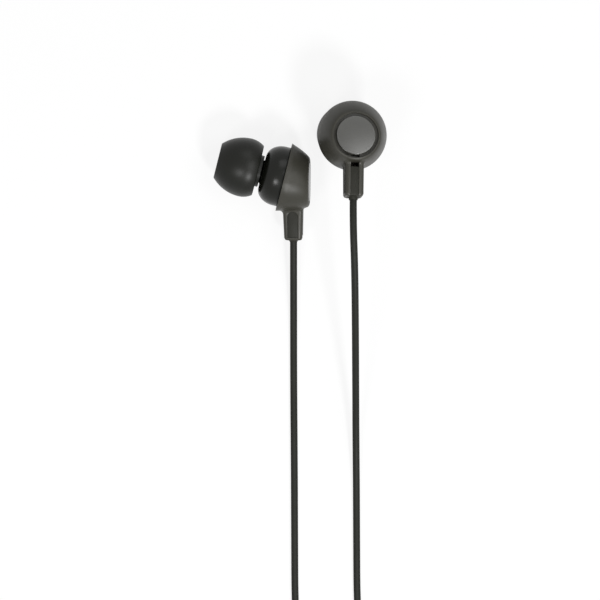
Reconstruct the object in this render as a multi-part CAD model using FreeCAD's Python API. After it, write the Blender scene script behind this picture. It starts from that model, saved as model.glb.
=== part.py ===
import FreeCAD, Part
import math
import os

from FreeCAD import Placement, Rotation, Vector

# Wired in-ear earphones lying on a table: the left earphone on its side, the right one on its ear tip.
# Millimetres, +Z up, the origin on the table under the middle of the two earphones.
# Each earphone is drawn in its own frame: the origin is the centre of the shell's front rim,
# +X points out of the rear face, -Z runs down the stem, and Y is across.
# The sound path leans up from the rear face's normal by nozzle_tilt.

# Front housing, a glossy drum with a round shoulder and the sound tube
nozzle_tilt = 14.0
housing_r = 6.25
housing_straight = 1.0
housing_depth = 4.63
housing_face_r = 3.4
housing_wall = 0.95
spigot_length = 2.2
spigot_step = 0.35
nozzle_r = 2.3
nozzle_lip_r = 2.6
nozzle_lip_length = 0.8
nozzle_length = 6.0
nozzle_bore_r = 1.7
mesh_thickness = 0.15
mesh_seat_r = 2.05

# Silicone ear tip
tip_start = 5.65
tip_length = 8.55
tip_bulge_r = 6.15
tip_bulge_depth = 8.3
tip_front_r = 3.67
tip_skirt_r = 5.33
tip_wall = 0.6
tip_tube_wall = 0.67
tip_slide_fit = 0.03
tip_seat_gap = 0.25

# Rear shell with the stem
shell_rim_r = 7.2
shell_depth = 5.35
shell_drop = 1.0
shell_wall = 0.95
shell_waist = ((0.375, 0.914), (0.7, 0.826), (0.9, 0.75), (1.0, 0.7))
shell_edge_r = 0.65
lip_wall = 0.34
recess_depth = 0.6
stem_end = 13.35
stem_top = 5.6
stem_front_top = -0.23
stem_front_end = 0.1
stem_rear_top = 4.04
stem_rear_end = 3.87
stem_width_top = 3.95
stem_width_end = 3.85
stem_corner_r = 0.7
stem_end_r = 0.55
neck_r = 0.9
window_width = 2.2
window_top = 6.9
window_end = 12.65
window_x = 1.87
channel_width = 1.75
channel_top = 6.25
channel_depth = 1.15
vent_length = 0.62
vent_depth = 1.2
wire_way_r = 0.9
wire_way_length = 4.15

# Rear cap
cap_r = 4.0
cap_height = 0.6
cap_crown = 0.16
cap_spigot_r = 2.0
cap_spigot_length = 0.9
cap_edge_r = 0.15

# Inner boot of the stem, which grips the cord
boot_top = 7.3
boot_half_width = 1.25
boot_corner_r = 0.4
boot_front = 0.78
boot_rear = 3.15
boot_recess = 0.08
boot_collar_r = 1.0
boot_collar_length = 0.55
crimp_r = 0.7
crimp_length = 1.5
crimp_bore_r = 0.35

# Driver
driver_r = 5.25
driver_front = 1.2
driver_back = -1.4
driver_wall = 0.4
driver_floor = 0.6
driver_bore_r = 3.45
driver_inner_r = 4.6
vent_count = 6
vent_r = 0.33
gasket_thickness = 0.4
gasket_r = 4.5
yoke_r = 3.4
yoke_wall = 0.35
yoke_base = 0.5
magnet_r = 2.3
magnet_height = 0.9
pole_r = 2.5
pole_height = 0.5
pole_front = -0.25
coil_r = 2.9
coil_wall = 0.18
coil_length = 1.7
film = 0.12
film_rim_r = 4.8
film_ledge = 0.75
surround_height = 0.35
dome_height = 0.55
board_width = 2.4
board_height = 1.0
board_thickness = 0.4
board_r = 5.0
pad_r = 0.35
pad_height = 0.2
wire_r = 0.14
wire_pitch = 0.7
felt_thickness = 0.1

# Running and seating clearance between pieces that fit in each other
fit = 0.05

# Cords: two thin legs from the earphones to the splitter, and the thicker common lead
leg_r = 0.75
lead_r = 1.0
wire_sides = 6
turn_gap = 0.5
tie_thickness = 0.35
tie_width = 2.6

# The legs' routes from the stems to the coils, corner by corner
left_route = (
    (-0.29, -21.43, 2.45),
    (0.22, -31.6, 0.75),
    (0.27, -44.6, 0.75),
    (0.4, -62.6, 0.75),
    (0.46, -78.6, 0.75),
    (0.52, -96.5, 0.75),
)
right_route = (
    (9.61, -10.19, 20.65),
    (10.08, -19.3, 19.2),
    (10.99, -31.3, 14.4),
    (12.15, -43.8, 8.4),
    (13.24, -56.3, 2.6),
    (13.68, -66.8, 0.75),
    (13.76, -80.3, 0.75),
    (13.83, -96.5, 0.75),
)

# The spare length of the legs and of the lead, each wound into a tied coil
leg_turns = 2.9
leg_layers = 2
left_coil_r = 7.65
right_coil_r = 7.2
leg_coil_y = -104.3
lead_turns = 9.25
lead_layers = 4
lead_coil_r = 11.9
lead_coil_x = 0.9
leg_tie_angle = 270
lead_tie_angle = 30

# Splitter
splitter_x = 7.17
splitter_y = -110.5
splitter_straight = 4.0
splitter_length = 10.0
splitter_width = 6.8
splitter_height = 3.8
splitter_tail = 3.3
splitter_leg_pitch = 3.0
socket_depth = 1.5

# Plug of 3.5 mm with three contacts, drawn on Z with height 0 at the grip's front
contact_r = 1.75
sleeve_end = 7.3
ring_start = 8.0
ring_end = 10.3
tip_contact_start = 11.0
tip_contact_end = 14.0
core_r = 0.6
sleeve_tail = 4.0
sleeve_tail_r = 2.2
grip_r = 3.2
grip_length = 14.0
grip_nose = 1.0
strain_r = 2.5
strain_end_r = 1.5
strain_length = 8.0
strain_spigot = 3.0
strain_grooves = 4
plug_gap = 0.6
plug_start = -5.3

# Where each earphone lies: the place of its rim centre, how far the left stem dips and the right one turns
left_x = -2.94
left_y = -1.145
left_dip = 14.0
left_heading = 2.1
right_x = 10.357
right_y = 7.662
right_heading = -2.4


def arc_between(start, end, centre):
    """The middle point of the short arc from start to end about a centre, all as (radius, height)."""
    mid_r = (start[0] + end[0]) / 2 - centre[0]
    mid_z = (start[1] + end[1]) / 2 - centre[1]
    reach = math.dist(start, centre) / math.hypot(mid_r, mid_z)
    return centre[0] + mid_r * reach, centre[1] + mid_z * reach


def dome_mid(edge_r, edge_z, top_z):
    """The middle point of a spherical cap's profile from its edge up to the axis."""
    rise = top_z - edge_z
    radius = (edge_r**2 + rise**2) / (2 * rise)
    return arc_between((edge_r, edge_z), (0, top_z), (0, top_z - radius))


def turned(start, *steps):
    """A solid turned about Z from a closed outline of (radius, height).

    A step is one point for a straight edge, or a pair of points for an arc through the first to the second.
    """
    here = Vector(start[0], 0, start[1])
    edges = []
    for step in list(steps) + [start]:
        if isinstance(step[0], tuple):
            through = Vector(step[0][0], 0, step[0][1])
            there = Vector(step[1][0], 0, step[1][1])
            edges.append(Part.Arc(here, through, there).toShape())
        else:
            there = Vector(step[0], 0, step[1])
            if here.distanceToPoint(there) < 1e-6:
                continue
            edges.append(Part.LineSegment(here, there).toShape())
        here = there
    face = Part.Face(Part.Wire(edges))
    return face.revolve(Vector(0, 0, 0), Vector(0, 0, 1), 360)


def ring(inner_r, outer_r, low, high):
    """A plain ring or, with no inner radius, a disc."""
    return turned((inner_r, low), (outer_r, low), (outer_r, high), (inner_r, high))


def on_nozzle_axis(shape):
    """Turns a piece drawn on Z, forwards positive, onto the leaning sound path."""
    turned_shape = shape.copy()
    lean = Rotation(Vector(0, 1, 0), -(90 - nozzle_tilt))
    turned_shape.Placement = Placement(Vector(0, 0, 0), lean).multiply(shape.Placement)
    return turned_shape


def tilted_circle(share, radius):
    """A circle of the shell between its front rim (share 0) and its rear edge (share 1)."""
    circle = Part.Wire([Part.makeCircle(radius)])
    lean = 90 + nozzle_tilt * (1 - share)
    centre = Vector(shell_depth * share, 0, -shell_drop * share)
    circle.Placement = Placement(centre, Rotation(Vector(0, 1, 0), lean))
    return circle


def shell_radius(share):
    """The shell's outer radius at a share of its depth, between the sections that shape it."""
    sections = ((0.0, 1.0),) + shell_waist
    for (near, wide), (far, narrow) in zip(sections, sections[1:]):
        if share <= far:
            return shell_rim_r * (wide + (narrow - wide) * (share - near) / (far - near))
    return shell_rim_r * shell_waist[-1][1]


def rounded_section(front, rear, width, corner, level):
    """A rounded rectangle across the stem, between front and rear along X, at a height."""
    half = width / 2
    flat = [
        (front + corner, -half),
        (rear - corner, -half),
        (rear, -half + corner),
        (rear, half - corner),
        (rear - corner, half),
        (front + corner, half),
        (front, half - corner),
        (front, -half + corner),
    ]
    inset = corner * (1 - math.sqrt(0.5))
    middles = [
        (rear - inset, -half + inset),
        (rear - inset, half - inset),
        (front + inset, half - inset),
        (front + inset, -half + inset),
    ]
    edges = []
    for i in range(4):
        a = Vector(*flat[2 * i], level)
        b = Vector(*flat[2 * i + 1], level)
        c = Vector(*flat[(2 * i + 2) % 8], level)
        edges.append(Part.LineSegment(a, b).toShape())
        edges.append(Part.Arc(b, Vector(*middles[i], level), c).toShape())
    return Part.Wire(edges)


def stem_outline(level, inset=0.0):
    """The stem's rounded section at a height below the rim centre."""
    share = (-level - stem_top) / (stem_end - stem_top)
    front = stem_front_top + (stem_front_end - stem_front_top) * share + inset
    rear = stem_rear_top + (stem_rear_end - stem_rear_top) * share - inset
    width = stem_width_top + (stem_width_end - stem_width_top) * share - 2 * inset
    return rounded_section(front, rear, width, stem_corner_r - inset / 2, level)


def box(low, high):
    """A block between two corners."""
    size = [b - a for a, b in zip(low, high)]
    return Part.makeBox(*size, Vector(*low))


def arch(width, base, top, centre_x, near_y, far_y):
    """A block across the stem with a round top, such as the stem's side windows."""
    half = width / 2
    spring = -top - half
    left = Vector(centre_x - half, near_y, -base)
    right = Vector(centre_x + half, near_y, -base)
    left_top = Vector(centre_x - half, near_y, spring)
    right_top = Vector(centre_x + half, near_y, spring)
    edges = [
        Part.LineSegment(left, right).toShape(),
        Part.LineSegment(right, right_top).toShape(),
        Part.Arc(right_top, Vector(centre_x, near_y, -top), left_top).toShape(),
        Part.LineSegment(left_top, left).toShape(),
    ]
    return Part.Face(Part.Wire(edges)).extrude(Vector(0, far_y - near_y, 0))


def at_rear(shape):
    """Turns a piece drawn on Z onto the rear face's normal, with height 0 on the lip's edge."""
    moved = shape.copy()
    turn = Rotation(Vector(0, 1, 0), 90)
    moved.Placement = Placement(Vector(shell_depth, 0, -shell_drop), turn).multiply(shape.Placement)
    return moved


def front_housing():
    """The glossy front drum: spigot, flange, round shoulder, sound tube with its lip, and the bore."""
    spigot_r = housing_r - spigot_step
    bore_r = driver_r + fit
    seat = driver_front + gasket_thickness
    mouth = housing_depth + nozzle_length
    inside = housing_depth - housing_wall
    rise = housing_depth - housing_straight
    run = housing_r - housing_face_r
    shoulder = []
    for turn in (45, 90):
        for angle in (turn - 22.5, turn):
            r = housing_face_r + run * math.cos(math.radians(angle))
            z = housing_straight + rise * math.sin(math.radians(angle))
            shoulder.append((r, z))
    return turned(
        (bore_r, -spigot_length),
        (spigot_r, -spigot_length),
        (spigot_r, 0),
        (housing_r, 0),
        (housing_r, housing_straight),
        (shoulder[0], shoulder[1]),
        (shoulder[2], shoulder[3]),
        (nozzle_r + 0.3, housing_depth),
        (nozzle_r, housing_depth + 0.3),
        (nozzle_r, mouth - nozzle_lip_length - 0.4),
        (nozzle_lip_r, mouth - nozzle_lip_length),
        (nozzle_lip_r, mouth - 0.3),
        (nozzle_lip_r - 0.25, mouth),
        (mesh_seat_r, mouth),
        (mesh_seat_r, mouth - 0.3),
        (nozzle_bore_r, mouth - 0.3),
        (nozzle_bore_r, inside),
        (gasket_r, inside - 0.9),
        (gasket_r, seat),
        (bore_r, seat),
    )


def nozzle_mesh():
    """The woven steel disc in the sound tube's mouth."""
    seat = housing_depth + nozzle_length - 0.3
    return ring(0, mesh_seat_r - fit, seat, seat + mesh_thickness)


def nozzle_damper():
    """The foam plug that tunes the sound tube."""
    middle = housing_depth + nozzle_length * 0.5
    return ring(0, nozzle_bore_r - fit, middle - 0.9, middle + 0.9)


def tip_nose():
    """Where the tip's domed skirt turns into its rounded front edge, as (radius, height)."""
    return tip_front_r + 0.12, tip_start + tip_length - 0.2


def tip_radii():
    """The radii of the two arcs of the tip's profile, in front of the bulge and behind it."""
    radii = []
    for r, z in (tip_nose(), (tip_skirt_r, tip_start)):
        gap = tip_bulge_r - r
        run = abs(z - tip_bulge_depth)
        radii.append((gap**2 + run**2) / (2 * gap))
    return radii


def ear_tip():
    """The silicone tip: a tube that grips the sound tube, rolled over at the front into a domed skirt."""
    bore = nozzle_lip_r + tip_slide_fit
    tube = bore + tip_tube_wall
    rear = housing_depth + tip_seat_gap
    front = tip_start + tip_length
    nose = tip_nose()
    bulge = (tip_bulge_r, tip_bulge_depth)
    skirt = (tip_skirt_r, tip_start)
    rear_run = tip_bulge_depth - tip_start
    front_radius, rear_radius = tip_radii()
    front_centre = (tip_bulge_r - front_radius, tip_bulge_depth)
    rear_centre = (tip_bulge_r - rear_radius, tip_bulge_depth)
    inner_bulge = (tip_bulge_r - tip_wall, tip_bulge_depth)
    inner_skirt = (tip_skirt_r - tip_wall * 0.8, tip_start)
    inner_radius = front_radius - tip_wall
    inner_top_r = tube + 0.05
    inner_top = tip_bulge_depth + math.sqrt(inner_radius**2 - (inner_top_r - front_centre[0]) ** 2)
    inner_nose = (inner_top_r, inner_top)
    rear_inner_gap = inner_bulge[0] - inner_skirt[0]
    rear_inner_radius = (rear_inner_gap**2 + rear_run**2) / (2 * rear_inner_gap)
    rear_inner_centre = (inner_bulge[0] - rear_inner_radius, tip_bulge_depth)
    lip_mid = ((skirt[0] + inner_skirt[0]) / 2, tip_start - 0.15)
    return turned(
        (bore, rear),
        (tube, rear),
        inner_nose,
        (arc_between(inner_nose, inner_bulge, front_centre), inner_bulge),
        (arc_between(inner_bulge, inner_skirt, rear_inner_centre), inner_skirt),
        (lip_mid, skirt),
        (arc_between(skirt, bulge, rear_centre), bulge),
        (arc_between(bulge, nose, front_centre), nose),
        ((tip_front_r - 0.2, front), (tip_front_r - 0.55, front - 0.16)),
        (bore, front - 1.4),
    )


def driver_gasket():
    """The foam ring between the driver and the housing's shoulder."""
    return ring(gasket_r, driver_r, driver_front, driver_front + gasket_thickness)


def driver_frame():
    """The driver's moulded basket: outer wall, diaphragm ledge, and a floor with vents round the magnet."""
    floor = driver_back + driver_floor
    ledge = driver_r - driver_wall
    basket = turned(
        (driver_bore_r, driver_back),
        (driver_r, driver_back),
        (driver_r, driver_front),
        (ledge, driver_front),
        (ledge, film_ledge),
        (driver_inner_r, film_ledge),
        (driver_inner_r, floor),
        (driver_bore_r, floor),
    )
    vent_circle = (driver_bore_r + driver_inner_r) / 2
    for i in range(vent_count):
        angle = 2 * math.pi * (i + 0.5) / vent_count
        where = Vector(vent_circle * math.cos(angle), vent_circle * math.sin(angle), driver_back - 1)
        basket = basket.cut(Part.makeCylinder(vent_r, driver_floor + 2, where))
    return basket


def diaphragm():
    """The thin film: glued rim, rolled surround, coil seat and centre dome."""
    inner = driver_inner_r - 0.05
    seat_out = coil_r + 0.15
    seat_in = coil_r - coil_wall - 0.15
    mid = (inner + seat_out) / 2
    low = film_ledge
    top = film_ledge + film
    return turned(
        (0, low + dome_height),
        (dome_mid(seat_in, low, low + dome_height), (seat_in, low)),
        (seat_out, low),
        ((mid, low + surround_height), (inner, low)),
        (film_rim_r, low),
        (film_rim_r, top),
        (inner, top),
        ((mid, top + surround_height), (seat_out, top)),
        (seat_in, top),
        (dome_mid(seat_in, top, top + dome_height), (0, top + dome_height)),
    )


def voice_coil():
    """The wound coil under the diaphragm."""
    return ring(coil_r - coil_wall, coil_r, film_ledge - coil_length, film_ledge)


def pole_plate():
    """The steel plate on the magnet's front."""
    return ring(0, pole_r, pole_front - pole_height, pole_front)


def magnet():
    """The disc magnet."""
    top = pole_front - pole_height
    return ring(0, magnet_r, top - magnet_height, top)


def yoke():
    """The steel cup that carries the flux back to the gap."""
    top = pole_front - pole_height - magnet_height
    inner = yoke_r - yoke_wall
    return turned(
        (0, top - yoke_base),
        (yoke_r - 0.2, top - yoke_base),
        (yoke_r, top - yoke_base + 0.2),
        (yoke_r, pole_front),
        (inner, pole_front),
        (inner, top),
        (0, top),
    )


def vent_felt():
    """The thin acoustic paper over the basket's vents."""
    return ring(driver_bore_r + fit, driver_inner_r, driver_back - felt_thickness, driver_back)


def terminal_board():
    """The small circuit board on the driver's back, with its two solder domes."""
    top = driver_back - felt_thickness
    half = board_width / 2
    low = top - board_thickness
    outer = math.sqrt(board_r**2 - half**2)
    board = box((-outer, -half, low), (-outer + board_height, half, top))
    for side in (-1, 1):
        place = Vector(-outer + board_height / 2, side * wire_pitch, low - pad_height)
        board = board.fuse(Part.makeCone(pad_r * 0.6, pad_r, pad_height, place))
    return board


def shell_body():
    """The shell's oblique round body, solid, with its rear edge rounded over into the lip."""
    shares = [0] + [share for share, _ in shell_waist]
    body = Part.makeLoft([tilted_circle(share, shell_radius(share)) for share in shares], True, False)
    rear_edge = [edge for edge in body.Edges if edge.BoundBox.XMin > shell_depth - 0.01]
    return body.makeFillet(shell_edge_r, rear_edge)


def stem_solid():
    """The stem with its rounded lower edge."""
    level = -stem_end + stem_end_r
    column = Part.makeLoft([stem_outline(-stem_top), stem_outline(level)], True, True)
    foot_mid = stem_outline(-stem_end + stem_end_r * 0.3, stem_end_r * 0.3)
    foot_low = stem_outline(-stem_end, stem_end_r)
    foot = Part.makeLoft([stem_outline(level), foot_mid, foot_low], True, True)
    return column.fuse(foot).removeSplitter()


def neck_edges(body):
    """The closed line along which the stem leaves the round shell."""
    edges = []
    for edge in body.Edges:
        middle = edge.valueAt((edge.FirstParameter + edge.LastParameter) / 2)
        on_stem = abs(middle.y) < stem_width_top / 2 + 0.02 and middle.x < stem_rear_top + 0.02
        high = edge.BoundBox.ZMax < -stem_top and edge.BoundBox.ZMin > -boot_top
        if on_stem and high and middle.x > stem_front_top - 0.02:
            edges.append(edge)
    return edges


def boot_core(gap=0.0):
    """The rounded block inside the boot, or the room for it in the stem with a gap all round."""
    low = -stem_end - gap
    outline = rounded_section(
        boot_front - gap, boot_rear + gap, 2 * (boot_half_width + gap), boot_corner_r + gap, low
    )
    return Part.Face(outline).extrude(Vector(0, 0, -boot_top + gap - low))


def rear_shell():
    """The soft-touch shell: oblique round body, lip and recess for the cap, stem, windows and cord channel."""
    body = shell_body().fuse(stem_solid()).removeSplitter()
    body = body.makeFillet(neck_r, neck_edges(body))
    spigot_r = housing_r - spigot_step + fit
    body = body.cut(on_nozzle_axis(ring(0, spigot_r, -spigot_length - 0.1, 2)))
    inner = Part.makeLoft(
        [
            tilted_circle(0.3, spigot_r - 0.4),
            tilted_circle(0.7, shell_radius(0.7) - shell_wall - 0.2),
        ],
        True,
        True,
    )
    body = body.cut(inner)
    recess_r = shell_rim_r * shell_waist[-1][1] - lip_wall
    body = body.cut(at_rear(ring(0, recess_r, -recess_depth, 2)))
    body = body.cut(at_rear(ring(0, cap_spigot_r + fit, -recess_depth - 2, 0)))
    boot_middle = (boot_front + boot_rear) / 2
    way = Part.makeCylinder(wire_way_r, wire_way_length, Vector(boot_middle, 0, -boot_top - 0.2))
    body = body.cut(way)
    body = body.cut(boot_core(fit))
    for side in (-1, 1):
        near = side * (boot_half_width - 0.2)
        far = side * (stem_width_top / 2 + 1)
        body = body.cut(arch(window_width, window_end, window_top, window_x, near, far))
    half = channel_width / 2
    for floor, end in ((stem_rear_top - channel_depth, stem_end + 1), (boot_middle, boot_top)):
        body = body.cut(box((floor, -half, -end), (stem_rear_top + channel_depth, half, -channel_top)))
    vent_top = -shell_drop - cap_r - 0.05
    vent = box(
        (shell_depth - recess_depth - vent_depth, -half, vent_top - vent_length),
        (shell_depth - recess_depth + 0.01, half, vent_top),
    )
    return body.cut(vent)


def back_cap():
    """The polished disc in the shell's recess, on a spigot."""
    top = -recess_depth + cap_height
    face_r = cap_r - cap_edge_r
    return at_rear(
        turned(
            (0, -recess_depth - cap_spigot_length),
            (cap_spigot_r, -recess_depth - cap_spigot_length),
            (cap_spigot_r, -recess_depth),
            (cap_r, -recess_depth),
            (cap_r, top - cap_edge_r),
            (face_r, top),
            (dome_mid(face_r, top, top + cap_crown), (0, top + cap_crown)),
        )
    )


def stem_boot():
    """The black inner boot: core, pads that fill the windows, rib that fills the channel, and collar."""
    core = boot_core()
    reach = stem_width_end / 2 - boot_recess
    for side in (-1, 1):
        near = side * (boot_half_width - 0.1)
        pad = arch(
            window_width - 2 * fit,
            window_end - fit,
            window_top + fit,
            window_x,
            near,
            side * reach,
        )
        core = core.fuse(pad)
    half = channel_width / 2 - fit
    rib = box((boot_rear - boot_corner_r, -half, -stem_end), (stem_rear_top, half, -boot_top))
    within = stem_solid()
    within.translate(Vector(-boot_recess, 0, 0))
    core = core.fuse(rib.common(within))
    middle = (boot_front + boot_rear) / 2
    collar = Part.makeCone(
        boot_collar_r,
        boot_collar_r * 0.9,
        boot_collar_length,
        Vector(middle, 0, -stem_end),
        Vector(0, 0, -1),
    )
    core = core.fuse(collar).removeSplitter()
    pocket = Part.makeCylinder(crimp_r + fit, crimp_length + 1, Vector(middle, 0, -boot_top - crimp_length))
    return core.cut(pocket)


def cord_crimp():
    """The crimp on the cord's end inside the boot."""
    middle = (boot_front + boot_rear) / 2
    low = -boot_top - crimp_length
    sleeve = turned(
        (0, 0),
        (crimp_r, 0),
        (crimp_r, crimp_length),
        (crimp_bore_r, crimp_length),
        (crimp_bore_r, 0.5),
        (0, 0.5),
    )
    sleeve.translate(Vector(middle, 0, low))
    return sleeve


def routed(points, radius, name):
    """A round cord along straight runs, rounded at each corner as widely as its two runs allow."""
    corners = [Vector(*p) for p in points]
    here = corners[0]
    edges = []
    radii = []
    for before, corner, after in zip(corners, corners[1:], corners[2:]):
        into = (corner - before).normalize()
        out = (after - corner).normalize()
        turn = into.getAngle(out)
        run = min(corner.distanceToPoint(before), corner.distanceToPoint(after))
        reach = 0.45 * run
        radii.append(reach / math.tan(turn / 2))
        start = corner - into * reach
        end = corner + out * reach
        inward = (out - into).normalize()
        sag = radii[-1] * (1 / math.cos(turn / 2) - 1)
        edges.append(Part.LineSegment(here, start).toShape())
        edges.append(Part.Arc(start, corner + inward * sag, end).toShape())
        here = end
    edges.append(Part.LineSegment(here, corners[-1]).toShape())
    path = Part.Wire(edges)
    section = Part.Wire([Part.makeCircle(radius, corners[0], corners[1] - corners[0])])
    cord = path.makePipeShell([section], True, False)
    share = cord.Volume / (math.pi * radius**2 * path.Length)
    print(name, "length", round(path.Length, 2), "volume share", round(share, 4))
    print("  radii", [round(r, 1) for r in radii])
    return cord


def arc_from(start, heading, end):
    """The arc from start to end that leaves start along a heading, or a line where they agree."""
    chord = end - start
    angle = heading.getAngle(chord)
    if angle < 1e-5:
        return Part.LineSegment(start, end).toShape()
    corner = start + heading * (chord.Length / (2 * math.cos(angle)))
    outward = (corner - (start + end) * 0.5).normalize()
    middle = (start + end) * 0.5 + outward * (chord.Length / 2 * math.tan(angle / 2))
    return Part.Arc(start, middle, end).toShape()


def biarc(start, start_heading, end, end_heading):
    """Two tangent arcs from one place and heading to another."""
    chord = end - start
    both = start_heading + end_heading
    spread = 2 * (1 - start_heading.dot(end_heading))
    along = chord.dot(both)
    if spread < 1e-9:
        reach = chord.dot(chord) / (2 * along)
    else:
        reach = (math.sqrt(along**2 + spread * chord.dot(chord)) - along) / spread
    joint = (start + end + (start_heading - end_heading) * reach) * 0.5
    into = (end - end_heading * reach - joint).normalize()
    return [arc_from(start, start_heading, joint), arc_from(joint, into, end)]


def wound(stations, radius, name):
    """A wound cord through (place, heading) stations; prints its length and its least gap to itself."""
    edges = []
    for (a, a_heading), (b, b_heading) in zip(stations, stations[1:]):
        edges += biarc(a, a_heading, b, b_heading)
    path = Part.Wire(edges)
    first, heading = stations[0]
    side = heading.cross(Vector(0, 0, 1)).normalize()
    rise = side.cross(heading)
    ring_points = []
    for i in range(wire_sides + 1):
        angle = 2 * math.pi * i / wire_sides
        ring_points.append(first + side * (radius * math.cos(angle)) + rise * (radius * math.sin(angle)))
    cord = path.makePipeShell([Part.makePolygon(ring_points)], True, False)
    points = [p for edge in edges for p in edge.discretize(Distance=0.8)[:-1]]
    travelled = [0.0]
    for a, b in zip(points, points[1:]):
        travelled.append(travelled[-1] + a.distanceToPoint(b))
    apart = 8 * radius
    gap = min(
        p.distanceToPoint(q)
        for i, p in enumerate(points)
        for j, q in enumerate(points[i + 1 :], i + 1)
        if travelled[j] - travelled[i] > apart
    )
    section = wire_sides / 2 * radius**2 * math.sin(2 * math.pi / wire_sides)
    share = cord.Volume / (section * path.Length)
    print(name, "length", round(path.Length, 2), "volume share", round(share, 4))
    print("  least gap to itself", round(gap - 2 * radius, 3), "least radius", round(least_radius(edges), 2))
    return cord


def least_radius(edges):
    """The smallest radius among the arcs of a path."""
    return min(edge.Curve.Radius for edge in edges if hasattr(edge.Curve, "Radius"))


def pile(mean_r, radius, turns, layers, begin, hand):
    """A pile of turns that spirals in and out at a steady rate and climbs a layer where it reverses.

    Returns its place as a function of the angle wound so far, and the angle of one layer.
    begin is the angle where it starts, in degrees, and hand is 1 anticlockwise or -1 clockwise.
    """
    pitch = 2 * radius + turn_gap
    rate = pitch / (2 * math.pi)
    layer = 2 * math.pi * turns / layers
    outer = mean_r + rate * layer / 2

    def place(wind):
        reversal = min(max(round(wind / layer), 1), layers - 1)
        past = wind - reversal * layer
        if abs(past) < math.pi / 2:
            share = past / math.pi + 0.5
            depth = layer - math.pi / 4 - past**2 / math.pi
            climbed = reversal - 1 + 3 * share**2 - 2 * share**3
            outward = reversal % 2 == 0
        else:
            climbed = min(int(wind // layer), layers - 1)
            depth = wind - climbed * layer
            outward = climbed % 2 == 1
        if outward:
            depth = layer - depth
        r = outer - rate * depth
        angle = math.radians(begin) + hand * wind
        return Vector(r * math.cos(angle), r * math.sin(angle), climbed * pitch)

    return place, layer


def pile_stations(place, layer, layers, centre):
    """The pile's (place, heading) stations: its start, its end, and every quarter or half turn between."""
    marks = [0.0]
    for k in range(1, layers):
        marks += [k * layer - math.pi / 2, k * layer, k * layer + math.pi / 2]
    marks.append(layers * layer)
    winds = [0.0]
    for a, b in zip(marks, marks[1:]):
        count = math.ceil((b - a) / (0.75 * math.pi))
        winds += [a + (b - a) * (i + 1) / count for i in range(count)]
    small = 1e-4
    stations = []
    for wind in winds:
        heading = place(min(wind + small, winds[-1])) - place(max(wind - small, 0.0))
        stations.append((centre + place(wind), heading.normalize()))
    return stations


def strands(place, layer, layers, begin, hand, where):
    """The places at which a pile's turns pass one angle, in degrees."""
    first = (hand * math.radians(where - begin)) % (2 * math.pi)
    count = int((layer * layers - first) // (2 * math.pi)) + 1
    return [place(first + 2 * math.pi * i) for i in range(count)]


def tie_band(passing, radius):
    """A tie round the strands that pass it, drawn across X, with Y outwards and its flap on top."""
    reaches = [math.hypot(p.x, p.y) for p in passing]
    inner = min(reaches) - radius - fit
    outer = max(reaches) + radius + fit
    low = -radius
    high = max(p.z for p in passing) + radius
    half = tie_width / 2
    hole = box((-half - 1, inner, low), (half + 1, outer, high))
    band = box(
        (-half, inner - tie_thickness, low - tie_thickness),
        (half, outer + tie_thickness, high + tie_thickness),
    )
    long_edges = [e for e in band.Edges if abs(e.tangentAt(e.FirstParameter).x) > 0.9]
    band = band.makeFillet(tie_thickness * 0.9, long_edges)
    across = outer - inner
    flap = box(
        (-half, inner + across * 0.2, high + tie_thickness),
        (half, inner + across * 0.75, high + 2 * tie_thickness),
    )
    return band.cut(hole).fuse(flap)


def splitter():
    """The moulded piece where the legs meet, drawn down -Z: a flat oval body that narrows to the lead."""
    half = splitter_height / 2
    corner = half - 0.15
    tail = splitter_tail / 2
    body = Part.makeLoft(
        [
            rounded_section(-half, half, splitter_width, corner, level)
            for level in (0, -splitter_straight)
        ],
        True,
        True,
    )
    neck = Part.makeLoft(
        [
            rounded_section(-half, half, splitter_width, corner, -splitter_straight),
            rounded_section(-tail, tail, 2 * tail, tail - 0.15, -splitter_length),
        ],
        True,
        True,
    )
    body = body.fuse(neck)
    for side in (-1, 1):
        place = Vector(0, side * splitter_leg_pitch / 2, -socket_depth)
        body = body.cut(Part.makeCylinder(leg_r + fit, socket_depth + 1, place))
    return body.cut(Part.makeCylinder(lead_r + fit, socket_depth + 1, Vector(0, 0, -splitter_length - 1)))


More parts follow.
